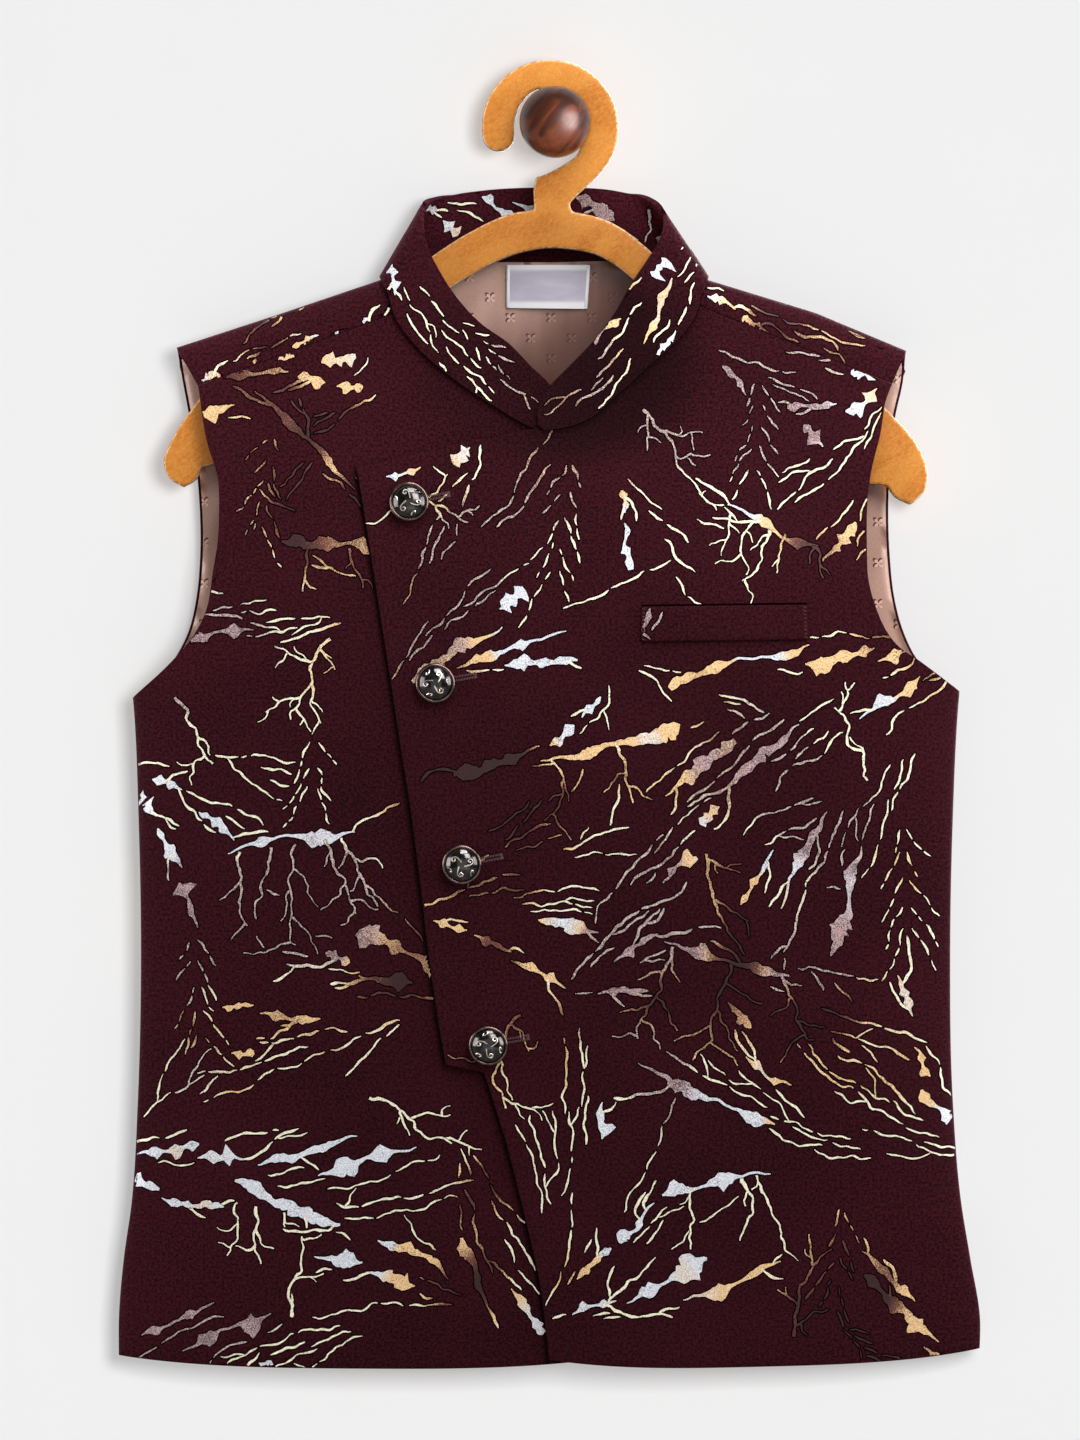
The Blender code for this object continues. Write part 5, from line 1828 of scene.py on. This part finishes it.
def spun(name, profile, steps, material):
    """A solid of revolution about Z, spun from a profile of (radius, height) in millimetres."""
    deselect()
    bpy.ops.mesh.primitive_circle_add(vertices=len(profile), radius=1.0, fill_type="NOTHING")
    piece = named(name)
    for vertex, (radius, height) in zip(piece.data.vertices, profile):
        vertex.co = (radius * MM, 0.0, height * MM)
    closing = {0, len(profile) - 1}
    delete_where(piece, "EDGE", piece.data.edges, lambda edge: set(edge.vertices) == closing)
    edited(
        piece,
        lambda: bpy.ops.mesh.spin(steps=steps, angle=2 * pi, center=(0, 0, 0), axis=(0, 0, 1)),
        lambda: bpy.ops.mesh.select_all(action="SELECT"),
        lambda: bpy.ops.mesh.remove_doubles(threshold=0.000005),
        lambda: bpy.ops.mesh.normals_make_consistent(inside=False),
    )
    piece.data.materials.append(material)
    return piece


DOME = ((0.0, 6.2), (1.5, 6.14), (3.0, 5.9), (4.3, 5.46), (5.4, 4.9), (6.2, 4.3), (6.8, 3.7), (7.0, 3.1))


def dome_height(radius):
    for (r_a, h_a), (r_b, h_b) in zip(DOME, DOME[1:]):
        if radius <= r_b:
            return h_a + (h_b - h_a) * (radius - r_a) / (r_b - r_a)
    return DOME[-1][1]


def dome_scroll(points, turn, thickness, material):
    """A raised line on the button's dome through (radius, degrees) points, turned by so many degrees."""
    deselect()
    bpy.ops.curve.primitive_nurbs_path_add()
    piece = named("scroll")
    spline = piece.data.splines[0]
    spline.points.add(len(points) - len(spline.points))
    for point, (radius, degrees) in zip(spline.points, points):
        angle = radians(turn + degrees)
        point.co = (radius * MM * cos(angle), radius * MM * sin(angle), (dome_height(radius) + 0.1) * MM, 1.0)
    spline.use_endpoint_u = True
    spline.order_u = 3
    piece.data.bevel_depth = thickness * MM
    piece.data.bevel_resolution = 1
    piece.data.resolution_u = 4
    piece.data.use_fill_caps = True
    make_active(piece)
    bpy.ops.object.convert(target="MESH")
    piece = bpy.context.object
    piece.data.materials.append(material)
    return piece


class JACKET_OT_buttons(bpy.types.Operator):
    """Makes the domed metal buttons, with a raised scrolled rosette on each."""

    bl_idname = "jacket.buttons"
    bl_label = "Buttons"

    def execute(self, context):
        trim = context.scene.jacket_trim
        dark = metal_material("dark_button_metal", trim.metal, 0.08, 0.2)
        bright = metal_material("polished_relief", trim.relief, 0.26, 0.42)
        rosy = metal_material("rosy_rim", trim.rim, 0.16, 0.3)
        dome = spun("dome", [*DOME, (6.9, 2.6), (0.0, 2.6)], 40, dark)
        rim = spun(
            "rim",
            [(6.7, 2.9), (7.0, 3.35), (7.35, 3.5), (7.75, 3.35), (8.05, 2.95), (8.2, 2.4), (8.1, 1.85),
             (7.7, 1.45), (6.9, 1.2), (2.4, 1.2), (2.2, 0.9), (2.2, 0.0), (0.0, 0.0), (0.0, 2.6), (6.6, 2.6)],
            40, rosy,
        )
        parts = [dome, rim]
        leaf = [(1.2, -30), (2.0, -12), (3.2, -2), (4.4, 6), (5.0, 22), (4.4, 36), (3.4, 34), (3.2, 20), (3.9, 17)]
        curl = [(5.6, -34), (5.0, -24), (4.7, -36), (5.2, -48), (5.9, -50)]
        for turn in (90.0, 210.0, 330.0):
            parts.append(dome_scroll(leaf, turn, 0.31, bright))
            parts.append(dome_scroll(curl, turn, 0.25, bright))
        first = joined("button_model", parts)
        smooth(first, 45.0)
        for number in range(BUTTON_COUNT):
            x, z = button_place(number)
            place = form_point(x, z, -1, inset=-SEAM_GAP, lift=lap_lift(x, z))
            outward = (form_point(x, z, -1, inset=-1.0) - form_point(x, z, -1)).normalized()
            make_active(first)
            bpy.ops.object.duplicate()
            piece = named(f"metal_button_{number + 1}")
            turn = outward.to_track_quat("Z", "Y").to_matrix().to_4x4()
            spin = radians((0.0, 74.0, 31.0, 52.0)[number])
            piece.data.transform(turn @ Matrix.Rotation(spin, 4, "Z"))
            piece.location = place * MM
            place_in_mesh(piece)
            in_place(piece, "button_metal", f"button_{number + 1}")
        bpy.data.objects.remove(first)
        return {"FINISHED"}


def arc(centre, radius, start, end, steps):
    """Points on an arc, its angles in degrees from +X towards +Z."""
    angles = [radians(start + (end - start) * k / steps) for k in range(steps + 1)]
    return [(centre[0] + radius * cos(angle), centre[1] + radius * sin(angle)) for angle in angles]


def hanger_outline():
    """The board's outline, clockwise from the hook's neck: hook, right arm, arch, left arm."""
    hole_foot = [(-8.3, -24.1), (-7.7, -22.5), (-5.3, -21.7), (-0.2, -19.4), (4.5, -16.6), (8.4, -13.9)]
    hole_right = arc((0, 0), 13.9, -36, 66, 8)
    seat = [(0, STEM_RADIUS + SEAM_GAP)]
    hole_left = [(-4.8, 13.9), (-8.2, 13.5), (-10.8, 11.7), (-13.7, 8.4), (-15.8, 3.9), (-16.7, -0.6)]
    tip = arc((-23.2, -5), 6.6, 10, -180, 8)
    outer = arc((-2.05, -2.05), 28, 172, -30, 20)
    right = [
        (18.6, -20.6), (14.3, -24.9), (8.6, -30.2), (5.9, -33), (7, -36.5), (15.5, -38.2), (23.4, -41),
        (38.5, -52.1), (50, -62.6), (61.5, -67.7), (84, -74.6), (107, -82), (121, -97),
        (136.1, -117.7), (147.2, -130), (152.9, -144), (151.6, -151.4), (146, -157), (139, -153.3),
        (136.1, -149.2), (129.6, -148.4),
    ]
    arch = [(31.6, -64), (24.6, -58.4), (16.8, -54.1), (6.8, -52), (-3.3, -51.5), (-14.4, -53.4),
            (-25, -57.4), (-42.2, -67.2)]
    left = [
        (-141.4, -140.6), (-145.1, -141.4), (-147.2, -146.4), (-152.5, -149.6), (-158.4, -146),
        (-160.7, -139), (-157.8, -131), (-146.4, -113.6), (-132, -92.4), (-120, -84.6), (-96, -76.4),
        (-70.5, -67.7), (-60, -62), (-49.6, -54.1), (-31.6, -43), (-18.4, -37.3), (-8.6, -35.7),
    ]
    return hole_foot + hole_right + seat + hole_left + tip + outer + right + arch + left


def rounded_outline(points, parts):
    """The closed outline again, as a smooth curve with more points; sharp turns stay as they are."""
    points = [Vector(point) for point in points]
    count = len(points)
    found = []
    for k in range(count):
        ring = [points[(k + shift) % count] for shift in (-1, 0, 1, 2)]
        corners = [
            i for i in (1, 2) if abs((ring[i] - ring[i - 1]).angle_signed(ring[i + 1] - ring[i], 0.0)) > radians(55)
        ]
        for j in range(parts):
            found.append(curve_point(ring, corners, 1 + j / parts))
    return found


class JACKET_OT_hanger(bpy.types.Operator):
    """Saws the hanger's flat board out and rounds its edges over."""

    bl_idname = "jacket.hanger"
    bl_label = "Hanger"

    def execute(self, context):
        outline = rounded_outline(hanger_outline(), 3)
        deselect()
        bpy.ops.mesh.primitive_circle_add(vertices=len(outline), radius=1.0, fill_type="NGON")
        piece = named("hanger_board")
        front = HANG_Y - HANGER_THICK / 2
        for vertex, point in zip(piece.data.vertices, outline):
            vertex.co = (point.x * MM, front * MM, point.y * MM)
        edited(
            piece,
            lambda: bpy.ops.mesh.extrude_region_move(TRANSFORM_OT_translate={"value": (0.0, HANGER_THICK * MM, 0.0)}),
            lambda: bpy.ops.mesh.select_all(action="SELECT"),
            lambda: bpy.ops.mesh.normals_make_consistent(inside=False),
        )
        finish_with(
            piece, "BEVEL", width=1.3 * MM, segments=4, limit_method="ANGLE", angle_limit=radians(60),
            use_clamp_overlap=False,
        )
        finish_with(piece, "TRIANGULATE", quad_method="BEAUTY", ngon_method="BEAUTY")
        piece.data.materials.append(hanger_material())
        smooth(piece, 35.0)
        in_place(piece, "pale_wood", "hanger")
        return {"FINISHED"}


class JACKET_OT_knob(bpy.types.Operator):
    """Turns the wall knob, its stem and its domed head in one."""

    bl_idname = "jacket.knob"
    bl_label = "Wall knob"

    def execute(self, context):
        neck = HANG_Y - HANGER_THICK / 2 - 1.0
        dome = 11.0
        rim = KNOB_FRONT + dome
        head = [(KNOB_RADIUS * sin(radians(a)), dome * cos(radians(a)) - rim) for a in range(0, 91, 6)]
        profile = [
            *head, (KNOB_RADIUS, -(rim + 2.0)), (KNOB_RADIUS, -(neck - 2.6)), (KNOB_RADIUS - 0.4, -(neck - 2.0)),
            (STEM_RADIUS, -neck), (STEM_RADIUS, 0.0), (0.0, 0.0),
        ]
        piece = spun("turned_knob", profile, 64, knob_material())
        piece.rotation_euler = (radians(90), 0.0, 0.0)
        place_in_mesh(piece)
        smooth(piece, 40.0)
        in_place(piece, "dark_wood", "wall_knob")
        return {"FINISHED"}


def stage_material(name, glow):
    @finish(name, 0.9, Specular_IOR_Level=0.1, Emission_Strength=glow)
    def paint(t, look):
        wall = bpy.context.scene.jacket_stage.wall
        places = t.on_object()
        look(Base_Color=t.mix(t.noise(places, 30.0, 2.0), rgba(wall, 0.99), rgba(wall, 1.01)))
        # the glow evens out what the wall light gives the wall
        across, _, up = t.split(places)
        slope = t.times_plus(across, -0.20, t.times(t.plus(up, 0.24), -0.07))
        even = t.math("MAXIMUM", t.math("MINIMUM", t.plus(slope, 1.0), 1.5), 0.3)
        look(Emission_Color=t.grey(even))
        away = t.node("NewGeometry").outputs["Backfacing"]
        surface, clear = t.tree.nodes["Principled BSDF"].outputs[0], t.node("BsdfTransparent").outputs[0]
        mixed = t.node("MixShader", {0: away, 1: surface, 2: clear}).outputs[0]
        t.link(mixed, t.tree.nodes["Material Output"].inputs["Surface"])

    return paint()


class JACKET_OT_stage(bpy.types.Operator):
    """Sets up the wall, the floor, the lights and the camera."""

    bl_idname = "jacket.stage"
    bl_label = "Stage"

    def execute(self, context):
        scene = context.scene
        stage = scene.jacket_stage
        middle = Vector((-6.15 * MM, -30.0 * MM, -245.2 * MM))
        pieces = bpy.data.collections.new("jacket_pieces")
        for piece in scene.collection.objects:
            pieces.objects.link(piece)
        walls = bpy.data.collections.new("walls")
        for name, place, turn, size, glow in (
            ("wall", (0.0, 0.0008, 0.2), (radians(90), 0.0, 0.0), 5.0, stage.glow),
            ("floor", (0.0, -1.2, -0.9), (0.0, 0.0, 0.0), 5.0, 0.0),
        ):
            deselect()
            bpy.ops.mesh.primitive_plane_add(size=size, location=place, rotation=turn)
            plane = named(name)
            place_in_mesh(plane)
            plane.data.materials.append(stage_material(f"pale_{name}", glow))
            plane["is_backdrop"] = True
            walls.objects.link(plane)
        knob = bpy.data.collections.new("polished_pieces")
        knob.objects.link(bpy.data.objects["turned_knob"])
        pieces.objects.unlink(bpy.data.objects["turned_knob"])
        for name, place, power, size, receivers in (
            ("key", Vector((0.45, -0.95, 0.45)), stage.key, 0.55, pieces),
            ("top", Vector((0.1, -0.5, 0.75)), stage.top, 0.5, pieces),
            ("left_side", Vector((-1.1, -0.4, -0.1)), 0.85 * stage.sides, 0.7, pieces),
            ("right_side", Vector((1.1, -0.4, 0.0)), 0.9 * stage.sides, 0.7, pieces),
            ("front", Vector((0.0, -2.4, -0.3)), stage.fill, 1.6, pieces),
            ("wall_light", Vector((0.62, -2.83, 0.08)), stage.wall_light, 0.8, walls),
            ("back_light", Vector((0.5, 1.7, 0.3)), 5.0 * stage.key, 1.2, pieces),
            ("knob_light", Vector((0.84, -0.98, 0.03)), 3.4 * stage.key, 0.9, knob),
        ):
            lamp = bpy.data.lights.new(name, "AREA")
            lamp.energy, lamp.size = power, size
            light = bpy.data.objects.new(name, lamp)
            scene.collection.objects.link(light)
            light.location = place
            light.rotation_euler = (middle - place).to_track_quat("-Z", "Y").to_euler()
            light.visible_camera = False
            light.light_linking.receiver_collection = receivers
            if place.y > 0:
                light.light_linking.blocker_collection = pieces
        world = bpy.data.worlds.new("studio")
        world.use_nodes = True
        colour, strength = world.node_tree.nodes["Background"].inputs[:2]
        colour.default_value, strength.default_value = (1.0, 1.0, 1.0, 1.0), 0.14
        scene.world = world
        scene.view_settings.view_transform = "Standard"
        camera_data = bpy.data.cameras.new("camera")
        camera = bpy.data.objects.new("camera", camera_data)
        scene.collection.objects.link(camera)
        camera.location = middle - Vector((0.0, stage.distance, 0.0))
        camera.rotation_euler = (radians(90), 0.0, 0.0)
        frame_height = 0.5904
        camera_data.sensor_width = 36.0
        camera_data.lens = 36.0 * stage.distance / frame_height
        camera_data.clip_start = 0.05
        scene.camera = camera
        return {"FINISHED"}


class JACKET_PT_panel(bpy.types.Panel):
    """Lists the steps and the settings of the jacket."""

    bl_idname = "JACKET_PT_panel"
    bl_label = "Nehru jacket"
    bl_space_type = "VIEW_3D"
    bl_region_type = "UI"
    bl_category = "Jacket"

    def draw(self, context):
        for name, kind in SETTINGS:
            box = self.layout.box()
            box.label(text=kind.__doc__)
            for key in kind.__annotations__:
                box.prop(getattr(context.scene, name), key)
        for operator in OPERATORS:
            self.layout.operator(operator.bl_idname)


SETTINGS = (
    ("jacket_cloth", ClothSettings),
    ("jacket_print", PrintSettings),
    ("jacket_trim", TrimSettings),
    ("jacket_wood", WoodSettings),
    ("jacket_stage", StageSettings),
)
OPERATORS = (
    JACKET_OT_hanger,
    JACKET_OT_knob,
    JACKET_OT_back,
    JACKET_OT_fronts,
    JACKET_OT_collar,
    JACKET_OT_lining,
    JACKET_OT_welt,
    JACKET_OT_print,
    JACKET_OT_buttonholes,
    JACKET_OT_buttons,
    JACKET_OT_stage,
)


def register():
    for name, kind in SETTINGS:
        bpy.utils.register_class(kind)
        setattr(bpy.types.Scene, name, PointerProperty(type=kind))
    for kind in (*OPERATORS, JACKET_PT_panel):
        bpy.utils.register_class(kind)


def unregister():
    for kind in (JACKET_PT_panel, *reversed(OPERATORS)):
        bpy.utils.unregister_class(kind)
    for name, kind in reversed(SETTINGS):
        delattr(bpy.types.Scene, name)
        bpy.utils.unregister_class(kind)


def main():
    register()
    for operator in OPERATORS:
        area, step = operator.bl_idname.split(".")
        getattr(getattr(bpy.ops, area), step)()
    boxes = {"cad": CAD_BOX, "visual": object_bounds()}
    plain = {name: [list(map(float, corner)) for corner in box] for name, box in boxes.items()}


if __name__ == "__main__":
    main()
